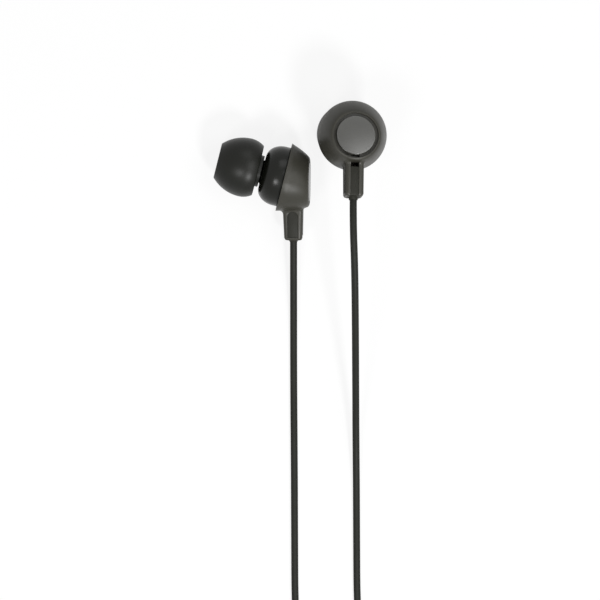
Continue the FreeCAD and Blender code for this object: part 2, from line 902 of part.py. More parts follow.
def plug_pieces():
    """The plug's pieces by name, on Z with the contacts upwards and height 0 at the grip's front."""
    insulator_gap = (sleeve_end, ring_start), (ring_end, tip_contact_start)
    neck_r = contact_r * 0.72
    waist = tip_contact_start + 0.45
    swell = tip_contact_start + 1.25
    tip = turned(
        (core_r, tip_contact_start),
        (contact_r, tip_contact_start),
        (contact_r, tip_contact_start + 0.15),
        (neck_r, waist),
        (contact_r, swell),
        (contact_r, swell + 0.2),
        (0.75, tip_contact_end - 0.15),
        (0.45, tip_contact_end),
        (0, tip_contact_end),
        (0, tip_contact_end - 0.6),
        (core_r, tip_contact_end - 0.6),
    )
    bore = core_r + fit
    sleeve = turned(
        (bore, -sleeve_tail),
        (sleeve_tail_r, -sleeve_tail),
        (sleeve_tail_r, 0),
        (contact_r, 0),
        (contact_r, sleeve_end),
        (bore, sleeve_end),
    )
    insulators = [ring(bore, contact_r - 0.02, low, high) for low, high in insulator_gap]
    grip = turned(
        (strain_r - 0.6, -grip_length),
        (grip_r - 0.3, -grip_length),
        (grip_r, -grip_length + 0.3),
        (grip_r, -grip_nose - 0.3),
        (grip_r - 0.3, -grip_nose),
        (grip_r - 0.6, -grip_nose),
        (grip_r - 0.6, 0),
        (sleeve_tail_r + fit, 0),
        (sleeve_tail_r + fit, -sleeve_tail),
        (1.4, -sleeve_tail),
        (1.4, -grip_length + strain_spigot),
        (strain_r - 0.6, -grip_length + strain_spigot),
    )
    rear = -grip_length - strain_length
    strain = turned(
        (lead_r + fit, rear),
        (strain_end_r, rear),
        (strain_r, -grip_length),
        (strain_r - 0.6 - fit, -grip_length),
        (strain_r - 0.6 - fit, -grip_length + strain_spigot),
        (0, -grip_length + strain_spigot),
        (0, rear + 2 * lead_r),
        (lead_r + fit, rear + 2 * lead_r),
    )
    step = (strain_length - 2) / strain_grooves
    for i in range(strain_grooves):
        level = rear + 1.2 + step * (i + 0.25)
        outer = strain_end_r + (strain_r - strain_end_r) * (level - rear) / strain_length
        strain = strain.cut(ring(outer - 0.25, outer + 1, level, level + step * 0.4))
    return {
        "plug_tip": tip,
        "plug_ring": ring(bore, contact_r, ring_start, ring_end),
        "plug_sleeve": sleeve,
        "plug_insulators": Part.makeCompound(insulators),
        "plug_core": ring(0, core_r, -sleeve_tail - 2, tip_contact_end - 0.6),
        "plug_grip": grip,
        "plug_boot": strain,
    }


def lead_wires():
    """Two enamelled wires from the board's solder domes through the wire way into the crimp."""
    half = board_width / 2
    reach = math.sqrt(board_r**2 - half**2) - board_height / 2
    back = driver_back - felt_thickness - board_thickness - pad_height
    lean = math.radians(nozzle_tilt)
    start_x = -back * math.cos(lean) - reach * math.sin(lean)
    start_z = back * math.sin(lean) - reach * math.cos(lean)
    middle = (boot_front + boot_rear) / 2
    wires = []
    for side in (-1, 1):
        y = side * wire_pitch
        route = (
            (start_x, y, start_z),
            (start_x + 0.6, y, start_z - 0.6 * math.tan(lean)),
            (middle, y * 0.5, start_z - 1.6),
            (middle, side * 0.17, -boot_top - 0.1),
            (middle, side * 0.17, -boot_top - crimp_length + 0.55),
        )
        wires.append(routed(route, wire_r, "lead wire"))
    return Part.makeCompound(wires)


def earphone():
    """The pieces of one earphone in its own frame, by name."""
    return {
        "ear_tip": on_nozzle_axis(ear_tip()),
        "nozzle_mesh": on_nozzle_axis(nozzle_mesh()),
        "nozzle_damper": on_nozzle_axis(nozzle_damper()),
        "front_housing": on_nozzle_axis(front_housing()),
        "driver_gasket": on_nozzle_axis(driver_gasket()),
        "driver_frame": on_nozzle_axis(driver_frame()),
        "diaphragm": on_nozzle_axis(diaphragm()),
        "voice_coil": on_nozzle_axis(voice_coil()),
        "pole_plate": on_nozzle_axis(pole_plate()),
        "magnet": on_nozzle_axis(magnet()),
        "yoke": on_nozzle_axis(yoke()),
        "vent_felt": on_nozzle_axis(vent_felt()),
        "terminal_board": on_nozzle_axis(terminal_board()),
        "lead_wires": lead_wires(),
        "rear_shell": rear_shell(),
        "back_cap": back_cap(),
        "stem_boot": stem_boot(),
        "cord_crimp": cord_crimp(),
    }


def rotation_of(turns):
    """One rotation from turns about the world's axes, the last named first."""
    rotation = Rotation()
    for axis, angle in turns:
        rotation = rotation.multiply(Rotation(Vector(*axis), angle))
    return rotation


def placed(shape, where, *turns):
    """A piece turned about the world's axes, last named first, and moved."""
    moved = shape.copy()
    moved.Placement = Placement(where, rotation_of(turns)).multiply(shape.Placement)
    return moved


def leaning_on_rim_and_tip():
    """How far a lying earphone's sound path points down, resting on the rim and on the tip's bulge."""
    bulge_r, _ = tip_radii()
    drop = shell_rim_r - tip_bulge_r + bulge_r
    across = math.hypot(tip_bulge_depth, drop)
    return math.atan2(drop, tip_bulge_depth) - math.asin(bulge_r / across)


X, Y, Z = (1, 0, 0), (0, 1, 0), (0, 0, 1)
tilt = math.radians(nozzle_tilt)
dip = math.radians(left_dip)
lean = leaning_on_rim_and_tip()
left_roll = math.degrees(
    math.asin((math.sin(lean) + math.sin(tilt) * math.sin(dip)) / (math.cos(tilt) * math.cos(dip)))
)
left_place = Vector(left_x, left_y, shell_rim_r * math.cos(lean))
left_turns = ((Z, left_heading), (X, left_dip), (Y, -left_roll), (X, -90))
right_place = Vector(right_x, right_y, tip_start + tip_length)
right_turns = ((Z, right_heading), (X, -nozzle_tilt), (Y, -90), (X, -90))

nodes = {}
for name, shape in earphone().items():
    nodes["left_" + name] = placed(shape, left_place, *left_turns)
    nodes["right_" + name] = placed(shape, right_place, *right_turns)

cord_exit = Vector((boot_front + boot_rear) / 2, 0, -stem_end - boot_collar_length)
left_exit = left_place + rotation_of(left_turns).multVec(cord_exit)
right_exit = right_place + rotation_of(right_turns).multVec(cord_exit)
cords = {
    "left_cord": routed((left_exit,) + left_route, leg_r, "left_cord"),
    "right_cord": routed((right_exit,) + right_route, leg_r, "right_cord"),
}

south = Vector(0, -1, 0)
east = Vector(1, 0, 0)
leg_straight = south * (2 * leg_r)
leg_outer = (2 * leg_r + turn_gap) * leg_turns / leg_layers / 2
leg_sides = (
    ("left", left_route, left_coil_r, -1, 0),
    ("right", right_route, right_coil_r, 1, 180),
)
for name, route, mean_r, side, begin in leg_sides:
    place, layer = pile(mean_r, leg_r, leg_turns, leg_layers, begin, side)
    start = Vector(*route[-1])
    centre = Vector(start.x + side * (mean_r + leg_outer), leg_coil_y, leg_r + tie_thickness)
    mouth = Vector(splitter_x + side * splitter_leg_pitch / 2, splitter_y, splitter_height / 2)
    stations = [(start, south), (start + leg_straight, south)]
    stations += pile_stations(place, layer, leg_layers, centre)
    stations += [(mouth - leg_straight, south), (mouth + south * socket_depth, south)]
    cords[name + "_leg_coil"] = wound(stations, leg_r, name + "_leg_coil")
    passing = strands(place, layer, leg_layers, begin, side, leg_tie_angle)
    cords[name + "_leg_tie"] = placed(tie_band(passing, leg_r), centre, (Z, leg_tie_angle - 90))

tail = Vector(splitter_x, splitter_y - splitter_length, splitter_height / 2)
cords["y_splitter"] = placed(splitter(), Vector(splitter_x, splitter_y, tail.z), (X, -90), (Z, 90))

lead_straight = 2 * lead_r
lead_outer = lead_coil_r + (lead_straight + turn_gap) * lead_turns / lead_layers / 2
place, layer = pile(lead_coil_r, lead_r, lead_turns, lead_layers, 90, 1)
bend = splitter_x - lead_coil_x
lead_low = lead_r + tie_thickness
lead_centre = Vector(lead_coil_x, tail.y - lead_straight - bend - lead_outer, lead_low)
plug_y = lead_centre.y - lead_outer - lead_r - plug_gap - grip_r
plug_rear = Vector(plug_start, plug_y, grip_r)
stations = [(tail - south * socket_depth, south), (tail + south * lead_straight, south)]
stations += pile_stations(place, layer, lead_layers, lead_centre)
stations += [(plug_rear - east * lead_straight, east), (plug_rear + east * lead_straight, east)]
cords["main_coil"] = wound(stations, lead_r, "main_coil")
passing = strands(place, layer, lead_layers, 90, 1, lead_tie_angle)
cords["coil_tie"] = placed(tie_band(passing, lead_r), lead_centre, (Z, lead_tie_angle - 90))
plug_front = plug_rear + east * (strain_length + grip_length)
for name, shape in plug_pieces().items():
    cords[name] = placed(shape, plug_front, (Y, 90))

os.makedirs("parts", exist_ok=True)
buds = FreeCAD.BoundBox()
whole = FreeCAD.BoundBox()
for name, shape in (nodes | cords).items():
    shape.exportStep(f"parts/{name}.step")
    whole.add(shape.optimalBoundingBox(False))
    if name in nodes:
        buds.add(shape.optimalBoundingBox(False))
    print(name, len(shape.Solids), shape.isValid(), round(shape.Volume, 3))
for side, turns in (("left", left_turns), ("right", right_turns)):
    forwards = rotation_of(turns).multVec(Vector(-math.cos(tilt), 0, math.sin(tilt)))
    print(side, "sound tube points along", forwards)
print("plug front", plug_front)
print("earphones", buds)
print("with cords", whole)
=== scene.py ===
# %% [markdown]
# # Wired earphones
# Two small earphones lie on a white table. The left one rests on its side, the right one stands on its ear
# tip, and their cords run towards the reader. They could be drawn by eye, but then no size would be sure. So
# the measured solids come in first as a fixed frame, and each piece that shows is then made again as a fine
# surface in the same place.

# %% The measured frame
import math

import bmesh
import bpy
import numpy as np
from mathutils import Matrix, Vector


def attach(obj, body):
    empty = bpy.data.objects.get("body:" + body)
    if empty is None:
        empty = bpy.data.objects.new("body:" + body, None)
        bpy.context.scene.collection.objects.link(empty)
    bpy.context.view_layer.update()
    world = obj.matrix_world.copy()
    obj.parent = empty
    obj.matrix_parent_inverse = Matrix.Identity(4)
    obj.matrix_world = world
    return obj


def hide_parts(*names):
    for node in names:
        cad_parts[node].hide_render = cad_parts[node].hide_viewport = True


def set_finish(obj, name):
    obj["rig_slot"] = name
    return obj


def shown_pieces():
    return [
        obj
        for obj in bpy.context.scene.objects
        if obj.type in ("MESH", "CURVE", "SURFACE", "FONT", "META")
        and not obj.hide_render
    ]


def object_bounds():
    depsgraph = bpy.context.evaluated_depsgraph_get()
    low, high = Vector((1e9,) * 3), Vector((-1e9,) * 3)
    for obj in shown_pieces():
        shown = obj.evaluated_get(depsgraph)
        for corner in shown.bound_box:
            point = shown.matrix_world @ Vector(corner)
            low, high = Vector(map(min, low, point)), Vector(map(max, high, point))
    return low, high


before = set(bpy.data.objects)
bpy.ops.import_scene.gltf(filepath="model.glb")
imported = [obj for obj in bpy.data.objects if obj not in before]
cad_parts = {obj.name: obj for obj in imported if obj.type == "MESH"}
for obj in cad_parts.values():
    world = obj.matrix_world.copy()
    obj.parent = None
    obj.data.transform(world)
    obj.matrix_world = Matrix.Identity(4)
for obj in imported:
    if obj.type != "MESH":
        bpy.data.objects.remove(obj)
measured_box = [list(corner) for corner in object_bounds()]
MM = 0.001

# %% [markdown]
# ## Camera
# The picture was taken nearly straight from above. The camera leans 7.6 degrees to the left and 4.5 degrees
# away from the cords, so that they run down the frame. A camera close by would swell whatever stands higher,
# and a long lens far away keeps both earphones at one scale. Its right, its top and the way back to it are
# written straight into one matrix, because three directions are easier to check than three turns.

# %% Camera
LEAN_LEFT = math.radians(7.6)
LEAN_BACK = math.radians(4.5)
CAMERA_DISTANCE = 0.8
FIELD = 0.125
SENSOR = 36.0
TARGET = np.array([0.4583, -26.7791, 7.0]) * MM

picture_right = np.array([math.cos(LEAN_LEFT), 0.0, math.sin(LEAN_LEFT)])
overhead = np.array([-math.sin(LEAN_LEFT), 0.0, math.cos(LEAN_LEFT)])
towards_back = np.array([0.0, 1.0, 0.0])
to_camera = math.cos(LEAN_BACK) * overhead + math.sin(LEAN_BACK) * towards_back
picture_up = math.cos(LEAN_BACK) * towards_back - math.sin(LEAN_BACK) * overhead


def placing(right, up, back, spot):
    """A matrix, handed over column by column: right, up, back, and the spot it looks from, along -back."""
    matrix = np.eye(4)
    matrix[:3] = np.stack([right, up, back, spot], axis=1)
    return matrix.T.tolist()


eye = bpy.data.objects.new("camera", bpy.data.cameras.new("camera"))
bpy.context.scene.collection.objects.link(eye)
eye.matrix_world = placing(picture_right, picture_up, to_camera, TARGET + CAMERA_DISTANCE * to_camera)
eye.data.sensor_width = SENSOR
eye.data.lens = SENSOR * CAMERA_DISTANCE / FIELD
eye.data.clip_start = 0.05
eye.data.clip_end = 10.0
bpy.context.scene.camera = eye
print("lens", round(eye.data.lens, 1), "mm")

# %% [markdown]
# ## Where the cords run
# A real cord is limp, keeps its length and thickness and never kinks. The legs leave their stems, sink to the
# table and run on. A limp cord follows no formula, so the corners of its way are given as a list. The
# spare length, which the picture doesn't show, is wound past its edge and goes into the splitter, and the
# lead goes from there through its own coil into the plug.

# %% Sizes of the cords and routes of the legs, in millimetres
LEG_R = 0.75
LEAD_R = 1.0
TURN_GAP = 0.5
TIE_THICKNESS = 0.35

LEFT_ROUTE = [
    (-0.514, -14.642, 4.145),
    (-0.29, -21.43, 2.45),
    (-0.06, -31.6, 0.75),
    (-0.05, -44.6, 0.75),
    (0.09, -62.6, 0.75),
    (0.15, -78.6, 0.75),
    (0.21, -90.0, 0.75),
    (0.52, -96.5, 0.75),
]
RIGHT_ROUTE = [
    (9.812, -5.338, 19.469),
    (9.61, -10.19, 20.65),
    (10.18, -19.3, 19.2),
    (11.03, -31.3, 14.4),
    (12.0, -43.8, 8.4),
    (12.92, -56.3, 2.6),
    (13.31, -66.8, 0.75),
    (13.38, -80.3, 0.75),
    (13.46, -90.0, 0.75),
    (13.83, -96.5, 0.75),
]
print("corners of the routes", len(LEFT_ROUTE), len(RIGHT_ROUTE))

# %% [markdown]
# ## Wound cord
# Spare cord is wound round the fingers and tied. A plain helix would stand up like a spring, so the turns are
# laid side by side first, and then layer on layer, as a hand does it. Everything follows from the angle wound
# so far, so one function gives the control points of every coil.

# %% The turns of a coil
def coil_outer(mean_r, radius, turns, layers):
    """The outer radius of a coil: its mean radius and half a layer's width, pitch times the turns in it."""
    return mean_r + (2 * radius + TURN_GAP) * turns / layers / 2


def coil_points(centre, mean_r, radius, turns, layers, begin, hand, per_turn=24):
    """Control points of a pile of turns.

    The angle wound grows evenly. Within a layer the distance from the centre shrinks by one pitch a turn, and
    in the next layer it grows again, so the turns lie side by side. Around each reversal the shrinking eases
    out over a half turn while the cord climbs by one pitch along 3s^2 - 2s^3. The swell makes up for a curve
    that runs inside its control points: it takes three quarters of one and an eighth of each neighbour.
    """
    pitch = 2 * radius + TURN_GAP
    rate = pitch / (2 * np.pi)
    layer = 2 * np.pi * turns / layers
    wind = np.linspace(0, layer * layers, round(turns * per_turn) + 1)
    reversal = np.clip(np.round(wind / layer), 1, layers - 1)
    past = wind - reversal * layer
    turning = np.abs(past) < np.pi / 2
    share = past / np.pi + 0.5
    level = np.minimum(wind // layer, layers - 1)
    depth = np.where(turning, layer - np.pi / 4 - past**2 / np.pi, wind - level * layer)
    outward = np.where(turning, reversal % 2 == 0, level % 2 == 1)
    depth = np.where(outward, layer - depth, depth)
    climbed = np.where(turning, reversal - 1 + 3 * share**2 - 2 * share**3, level)
    swell = 1 / (0.75 + 0.25 * np.cos(2 * np.pi / per_turn))
    r = (coil_outer(mean_r, radius, turns, layers) - rate * depth) * swell
    angle = np.radians(begin) + hand * wind
    turn = np.stack([r * np.cos(angle), r * np.sin(angle), climbed * pitch], axis=1)
    return (np.array(centre) + turn).tolist()


# %% The legs, from the stems to the splitter
LEG_TURNS, LEG_LAYERS = 2.9, 2
LEFT_COIL_R, RIGHT_COIL_R = 7.65, 7.2
LEG_COIL_Y = -104.3
COIL_ENTRY_Y, COIL_ENTRY_Z = -100.5, 0.85
SPLITTER = (7.17, -110.5, 1.9)
SPLITTER_PITCH, SPLITTER_LENGTH = 3.0, 10.0
SOCKET = 1.5


def leg_line(route, mean_r, begin, hand):
    """A leg's route, its coil beside the route's end by the outer radius, and the way into the splitter."""
    end_x = route[-1][0]
    centre_x = end_x + hand * coil_outer(mean_r, LEG_R, LEG_TURNS, LEG_LAYERS)
    centre = (centre_x, LEG_COIL_Y, LEG_R + TIE_THICKNESS)
    mouth_x = SPLITTER[0] + hand * SPLITTER_PITCH / 2
    return (
        route
        + [(end_x, COIL_ENTRY_Y, COIL_ENTRY_Z)]
        + coil_points(centre, mean_r, LEG_R, LEG_TURNS, LEG_LAYERS, begin, hand)
        + [(mouth_x, SPLITTER[1] + 2 * LEG_R, SPLITTER[2])]
        + [(mouth_x, SPLITTER[1] - SOCKET, SPLITTER[2])]
    )


left_line = leg_line(LEFT_ROUTE, LEFT_COIL_R, 0, -1)
right_line = leg_line(RIGHT_ROUTE, RIGHT_COIL_R, 180, 1)
print("control points of the legs", len(left_line), len(right_line))

# %% The lead, from the splitter to the plug
LEAD_ROUTE = [(7.17, -119.0, 1.9), (7.17, -123.5, 1.9), (5.97, -126.9, 1.6), (2.97, -128.8, 1.4)]
PLUG_ROUTE = [
    (-13.9, -148.5, 8.2),
    (-13.3, -155.5, 6.0),
    (-11.2, -161.1, 4.0),
    (-8.1, -163.15, 3.2),
    (-3.3, -163.15, 3.2),
]
LEAD_TURNS, LEAD_LAYERS = 9.25, 4
LEAD_COIL_R, LEAD_COIL_X = 11.9, 0.9
LEAD_OUTER = coil_outer(LEAD_COIL_R, LEAD_R, LEAD_TURNS, LEAD_LAYERS)
SPLITTER_END = SPLITTER[1] - SPLITTER_LENGTH
LEAD_CENTRE = (
    LEAD_COIL_X,
    SPLITTER_END - 2 * LEAD_R - (SPLITTER[0] - LEAD_COIL_X) - LEAD_OUTER,
    LEAD_R + TIE_THICKNESS,
)

lead_coil = coil_points(LEAD_CENTRE, LEAD_COIL_R, LEAD_R, LEAD_TURNS, LEAD_LAYERS, 90, 1)
lead_line = LEAD_ROUTE + lead_coil + PLUG_ROUTE
print("coil of the lead at", LEAD_CENTRE, "with", len(lead_coil), "control points")

# %% [markdown]
# ## Cords
# A cord could be a chain of cylinders or a mesh swept along a path. A NURBS curve of order three does it
# better: it is drawn towards its control points and has no corner anywhere, and its round bevel keeps one
# thickness. The bevel is a circle of radius one that every control point scales, so that the curve's box,
# which Blender widens by the points' radius, stays true. Three calls tell the frame about a piece: the body
# that it rides on, the measured solids that it replaces, and the name of its finish.

# %% One smooth line becomes one cord
def cord(name, line, radius, *nodes):
    """A round tube of one radius along one open quadratic NURBS spline."""
    curve = bpy.data.curves.new(name, "CURVE")
    curve.dimensions = "3D"
    curve.bevel_depth = 1.0
    curve.bevel_resolution = 5
    curve.resolution_u = 6
    curve.use_fill_caps = True
    spline = curve.splines.new("NURBS")
    spline.points.add(len(line) - 1)
    places = np.ones((len(line), 4))
    places[:, :3] = np.array(line) * MM
    spline.points.foreach_set("co", places.ravel())
    spline.points.foreach_set("radius", np.full(len(line), radius * MM))
    spline.order_u = 3
    spline.use_endpoint_u = True
    spline.resolution_u = 6
    piece = bpy.data.objects.new(name, curve)
    bpy.context.scene.collection.objects.link(piece)
    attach(piece, "earphones")
    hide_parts(*nodes)
    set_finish(piece, "cord")
    return piece


left_leg = cord("left_leg", left_line, LEG_R, "left_cord", "left_leg_coil")
right_leg = cord("right_leg", right_line, LEG_R, "right_cord", "right_leg_coil")
lead = cord("common_lead", lead_line, LEAD_R, "main_coil")
print("cords", [piece.name for piece in (left_leg, right_leg, lead)])

# %% [markdown]
# ## The two places of an earphone
# Both earphones are the same product, so each piece is drawn once, in an earphone's own frame: the centre of
# the shell's front rim is the origin, the stem runs down -Z and the rear face looks along +X. The sound tube
# has its own axis, which leans 14 degrees up from there. Turning the object would do, but the export wants
# every object left at the origin, so whole arrays of points are turned and moved instead.

# %% Turning and moving points
NOZZLE_TILT = 14.0
SHELL_DEPTH, SHELL_DROP = 5.35, 1.0


def turned_by(*turns):
    """One rotation from turns about X, Y or Z, last named first: cos and sin in the two other directions."""
    whole = np.eye(3)
    for axis, degrees in turns:
        c, s = math.cos(math.radians(degrees)), math.sin(math.radians(degrees))
        a, b = {"X": (1, 2), "Y": (2, 0), "Z": (0, 1)}[axis]
        one = np.eye(3)
        one[a, a] = one[b, b] = c
        one[b, a], one[a, b] = s, -s
        whole = whole @ one
    return whole


def moved(points, *places):
    """Points carried through one place after another: turned by each rotation, then shifted."""
    for rotation, shift in places:
        points = points @ rotation.T + shift
    return points


SOUND_AXIS = turned_by(("Y", NOZZLE_TILT - 90)), np.zeros(3)
REAR_AXIS = turned_by(("Y", 90)), np.array([SHELL_DEPTH, 0, -SHELL_DROP])
print("sound path runs along", (SOUND_AXIS[0] @ (0.0, 0.0, 1.0)).round(3))

# %% [markdown]
# ## How the earphones rest
# A thing on a table touches it, or it seems to float. The right earphone stands on the front of its tip, so
# its height is the tip's reach. The left one leans on its shell's rim and on the tip's bulge. Its angle could
# be tried out until both touch, but it follows from their radii, so it is worked out.

# %% Sizes of the rim and the ear tip
RIM_R = 7.2
TIP_START, TIP_LENGTH = 5.65, 8.55
TIP_BULGE_R, TIP_BULGE_Z = 6.15, 8.3
TIP_SKIRT_R, TIP_FRONT_R = 5.33, 3.67
TIP_FRONT = TIP_START + TIP_LENGTH
TIP_NOSE = (TIP_FRONT_R + 0.12, TIP_FRONT - 0.2)
TIP_SKIRT = (TIP_SKIRT_R, TIP_START)


def bulge_arc(r, z):
    """The radius of the arc that is widest at the bulge and passes (r, z): (gap^2 + run^2) / (2 gap)."""
    gap = TIP_BULGE_R - r
    return (gap**2 + (z - TIP_BULGE_Z) ** 2) / (2 * gap)


print("arcs of the tip", round(bulge_arc(*TIP_NOSE), 3), round(bulge_arc(*TIP_SKIRT), 3))

# %% Where each earphone lies
LEFT_SWING, RIGHT_SWING = 2.1, -2.4
LEFT_DIP = 14.0
LEFT_SPOT, RIGHT_SPOT = (-2.94, -1.145), (10.357, 7.662)


def resting_lean():
    """How far the lying sound path points down, when the table touches both the rim and the front arc.

    From the rim's lowest point the arc's centre is a drop up and the bulge's height along. The lean has the
    tangent drop / height, less the angle whose sine is the arc's radius over the distance to its centre.
    """
    arc = bulge_arc(*TIP_NOSE)
    drop = RIM_R - TIP_BULGE_R + arc
    return math.atan2(drop, TIP_BULGE_Z) - math.asin(arc / math.hypot(TIP_BULGE_Z, drop))


def resting_roll(lean):
    """The roll in degrees: its sine is (sin lean + sin tilt sin dip) / (cos tilt cos dip)."""
    tilt, dip = math.radians(NOZZLE_TILT), math.radians(LEFT_DIP)
    level = math.sin(lean) + math.sin(tilt) * math.sin(dip)
    return math.degrees(math.asin(level / (math.cos(tilt) * math.cos(dip))))


lean = resting_lean()
roll = resting_roll(lean)
EARPHONES = {
    "left": (
        turned_by(("Z", LEFT_SWING), ("X", LEFT_DIP), ("Y", -roll), ("X", -90)),
        np.array([*LEFT_SPOT, RIM_R * math.cos(lean)]),
    ),
    "right": (
        turned_by(("Z", RIGHT_SWING), ("X", -NOZZLE_TILT), ("Y", -90), ("X", -90)),
        np.array([*RIGHT_SPOT, TIP_FRONT]),
    ),
}
print("roll", round(roll, 6), "heights", [round(float(place[1][2]), 6) for place in EARPHONES.values()])

# %% [markdown]
# ## From a grid of points to a piece
# Most pieces here are turned parts, so their surface is a grid: one way round the axis, the other way along a
# closed profile. Real moulded edges are never sharp. A bevel modifier could round them all alike, but each
# corner of a profile takes its own small radius here, and that is what catches the light.

# %% Rounding a profile
TINY = 1e-6
SIDE_SHARE = 0.49


def rounded(outline, steps=4):
    """A closed outline of (radius, height, corner radius) with arcs for corners.

    With unit vectors a and b from the corner to its two neighbours and half the angle between them h, the
    arc of radius q starts q / tan h along a, ends as far along b, and its points turn evenly from one to the
    other about the centre q / sin h along the bisector. A side gives each of its corners less than half.
    """
    data = np.array(outline, float)
    points, q = data[:, :2], data[:, 2]
    a = np.roll(points, 1, axis=0) - points
    b = np.roll(points, -1, axis=0) - points
    la, lb = np.linalg.norm(a, axis=1), np.linalg.norm(b, axis=1)
    a, b = a / la[:, None], b / lb[:, None]
    half = np.arccos(np.clip((a * b).sum(axis=1), -1, 1)) / 2
    q = np.minimum(q, SIDE_SHARE * np.minimum(la, lb) * np.tan(half))
    bisector = a + b
    length = np.linalg.norm(bisector, axis=1)
    straight = length < TINY
    bisector = bisector / np.where(straight, 1, length)[:, None]
    reach = np.where(straight, 0, q / np.tan(np.maximum(half, TINY)))
    centre = points + bisector * np.where(straight, 0, q / np.sin(np.maximum(half, TINY)))[:, None]
    start, end = points + a * reach[:, None] - centre, points + b * reach[:, None] - centre
    share = np.linspace(0, 1, steps + 1)[None, :, None]
    sweep = (math.pi - 2 * half)[:, None, None]
    safe = np.where(np.sin(sweep) < TINY, 1, np.sin(sweep))
    arc = (np.sin((1 - share) * sweep) * start[:, None] + np.sin(share * sweep) * end[:, None]) / safe
    arc = np.where((straight | (q < TINY))[:, None, None], 0, arc)
    line = (centre[:, None] + arc).reshape(-1, 2)
    keep = np.linalg.norm(line - np.roll(line, 1, axis=0), axis=1) > 1e-5
    return line[keep]


print("points of a rounded square", len(rounded([(1, 0, 0.2), (2, 0, 0.2), (2, 1, 0.2), (1, 1, 0.2)])))


# %% A mesh becomes a piece
def mesh_piece(name, points, faces, body, slot, *nodes):
    """A piece from points in millimetres, smooth shaded, with outward faces, in place of its CAD nodes."""
    mesh = bpy.data.meshes.new(name)
    mesh.from_pydata((points * MM).tolist(), [], faces)
    shape = bmesh.new()
    shape.from_mesh(mesh)
    bmesh.ops.remove_doubles(shape, verts=shape.verts, dist=1e-7)
    bmesh.ops.recalc_face_normals(shape, faces=shape.faces)
    shape.to_mesh(mesh)
    shape.free()
    mesh.shade_smooth()
    piece = bpy.data.objects.new(name, mesh)
    bpy.context.scene.collection.objects.link(piece)
    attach(piece, body)
    if nodes:
        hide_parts(*nodes)
    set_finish(piece, slot)
    return piece


# %% A profile goes round its axis
def revolved(name, outline, places, body, slot, *nodes, around=128):
    """A turned piece: each profile point (r, z) goes round as (r cos t, r sin t, z), t in equal steps."""
    profile = rounded(outline)
    t = np.linspace(0, 2 * np.pi, around, endpoint=False)
    r, z = profile[:, 0, None], profile[:, 1, None]
    grid = np.stack([r * np.cos(t), r * np.sin(t), z + 0 * t], axis=2)
    rows, columns = grid.shape[:2]
    i, j = np.meshgrid(np.arange(rows), np.arange(columns), indexing="ij")
    i2, j2 = (i + 1) % rows, (j + 1) % columns
    corners = [i * columns + j, i * columns + j2, i2 * columns + j2, i2 * columns + j]
    quads = np.stack(corners, axis=2).reshape(-1, 4)
    on_axis = (r[i[..., 0], 0] < TINY) & (r[i2[..., 0], 0] < TINY)
    quads = quads[~np.repeat(on_axis, columns)]
    return mesh_piece(name, moved(grid.reshape(-1, 3), *places), quads.tolist(), body, slot, *nodes)


# %% [markdown]
# ## Ear tips
# An ear tip is one skin of silicone: a tube that grips the sound tube, rolled over at the front into a dome
# that bulges and draws in again to a thin lip at the back. Subdividing a coarse cage would give a dome too,
# but not one of a known radius. Its profile is a chain of arcs instead, turned about the sound axis.

# %% Points on an arc
def arc_points(start, end, centre, count):
    """Points (r, z, 0) evenly turned from start to end about a centre, the two ends left out."""
    (r0, z0), (r1, z1), (rc, zc) = start, end, centre
    first, last = math.atan2(z0 - zc, r0 - rc), math.atan2(z1 - zc, r1 - rc)
    reach = math.dist(start, centre)
    angle = np.linspace(first, last, count + 2)[1:-1]
    return [(rc + reach * math.cos(t), zc + reach * math.sin(t), 0) for t in angle]


# %% Ear tip
TIP_REAR = 4.88
TIP_WALL, TIP_BORE, TIP_TUBE_WALL = 0.6, 2.63, 0.67
TIP_LIP = TIP_WALL * 0.8
TIP_TUBE = TIP_BORE + TIP_TUBE_WALL


def tip_outline():
    """The tip's closed profile: tube, inner skin, lip and outer skin.

    The outer skin is two arcs that meet at the bulge. In front of the bulge the inner skin is an arc about
    the same centre, a wall further in, and behind the bulge two points bend it back to the lip.
    """
    front_q, rear_q = bulge_arc(*TIP_NOSE), bulge_arc(*TIP_SKIRT)
    bulge = (TIP_BULGE_R, TIP_BULGE_Z)
    front_centre = (TIP_BULGE_R - front_q, TIP_BULGE_Z)
    rear_centre = (TIP_BULGE_R - rear_q, TIP_BULGE_Z)
    inner_bulge = (TIP_BULGE_R - TIP_WALL, TIP_BULGE_Z)
    inner_skirt = (TIP_SKIRT_R - TIP_LIP, TIP_START)
    lip_middle = (TIP_SKIRT_R + inner_skirt[0]) / 2
    inner_r = TIP_TUBE + 0.05
    inner_rise = math.sqrt((front_q - TIP_WALL) ** 2 - (inner_r - front_centre[0]) ** 2)
    inner_nose = (inner_r, TIP_BULGE_Z + inner_rise)
    return (
        [(TIP_BORE, TIP_REAR, 0.1), (TIP_TUBE, TIP_REAR, 0.1), (*inner_nose, 0.1)]
        + arc_points(inner_nose, inner_bulge, front_centre, 12)
        + [(*inner_bulge, 0), (inner_bulge[0] - 0.05, 7.6, 0), (inner_bulge[0] - 0.17, 6.9, 0)]
        + [(*inner_skirt, 0.15), (lip_middle, TIP_START - 0.15, 0.2), (*TIP_SKIRT, 0.15)]
        + arc_points(TIP_SKIRT, bulge, rear_centre, 8)
        + [(*bulge, 0)]
        + arc_points(bulge, TIP_NOSE, front_centre, 20)
        + [(TIP_FRONT_R + 0.02, TIP_FRONT - 0.06, 0.5), (TIP_FRONT_R - 0.3, TIP_FRONT, 0.4)]
        + [(TIP_BORE, TIP_FRONT - 1.4, 0.3)]
    )


tip = tip_outline()
print("points of the tip's profile", len(tip))

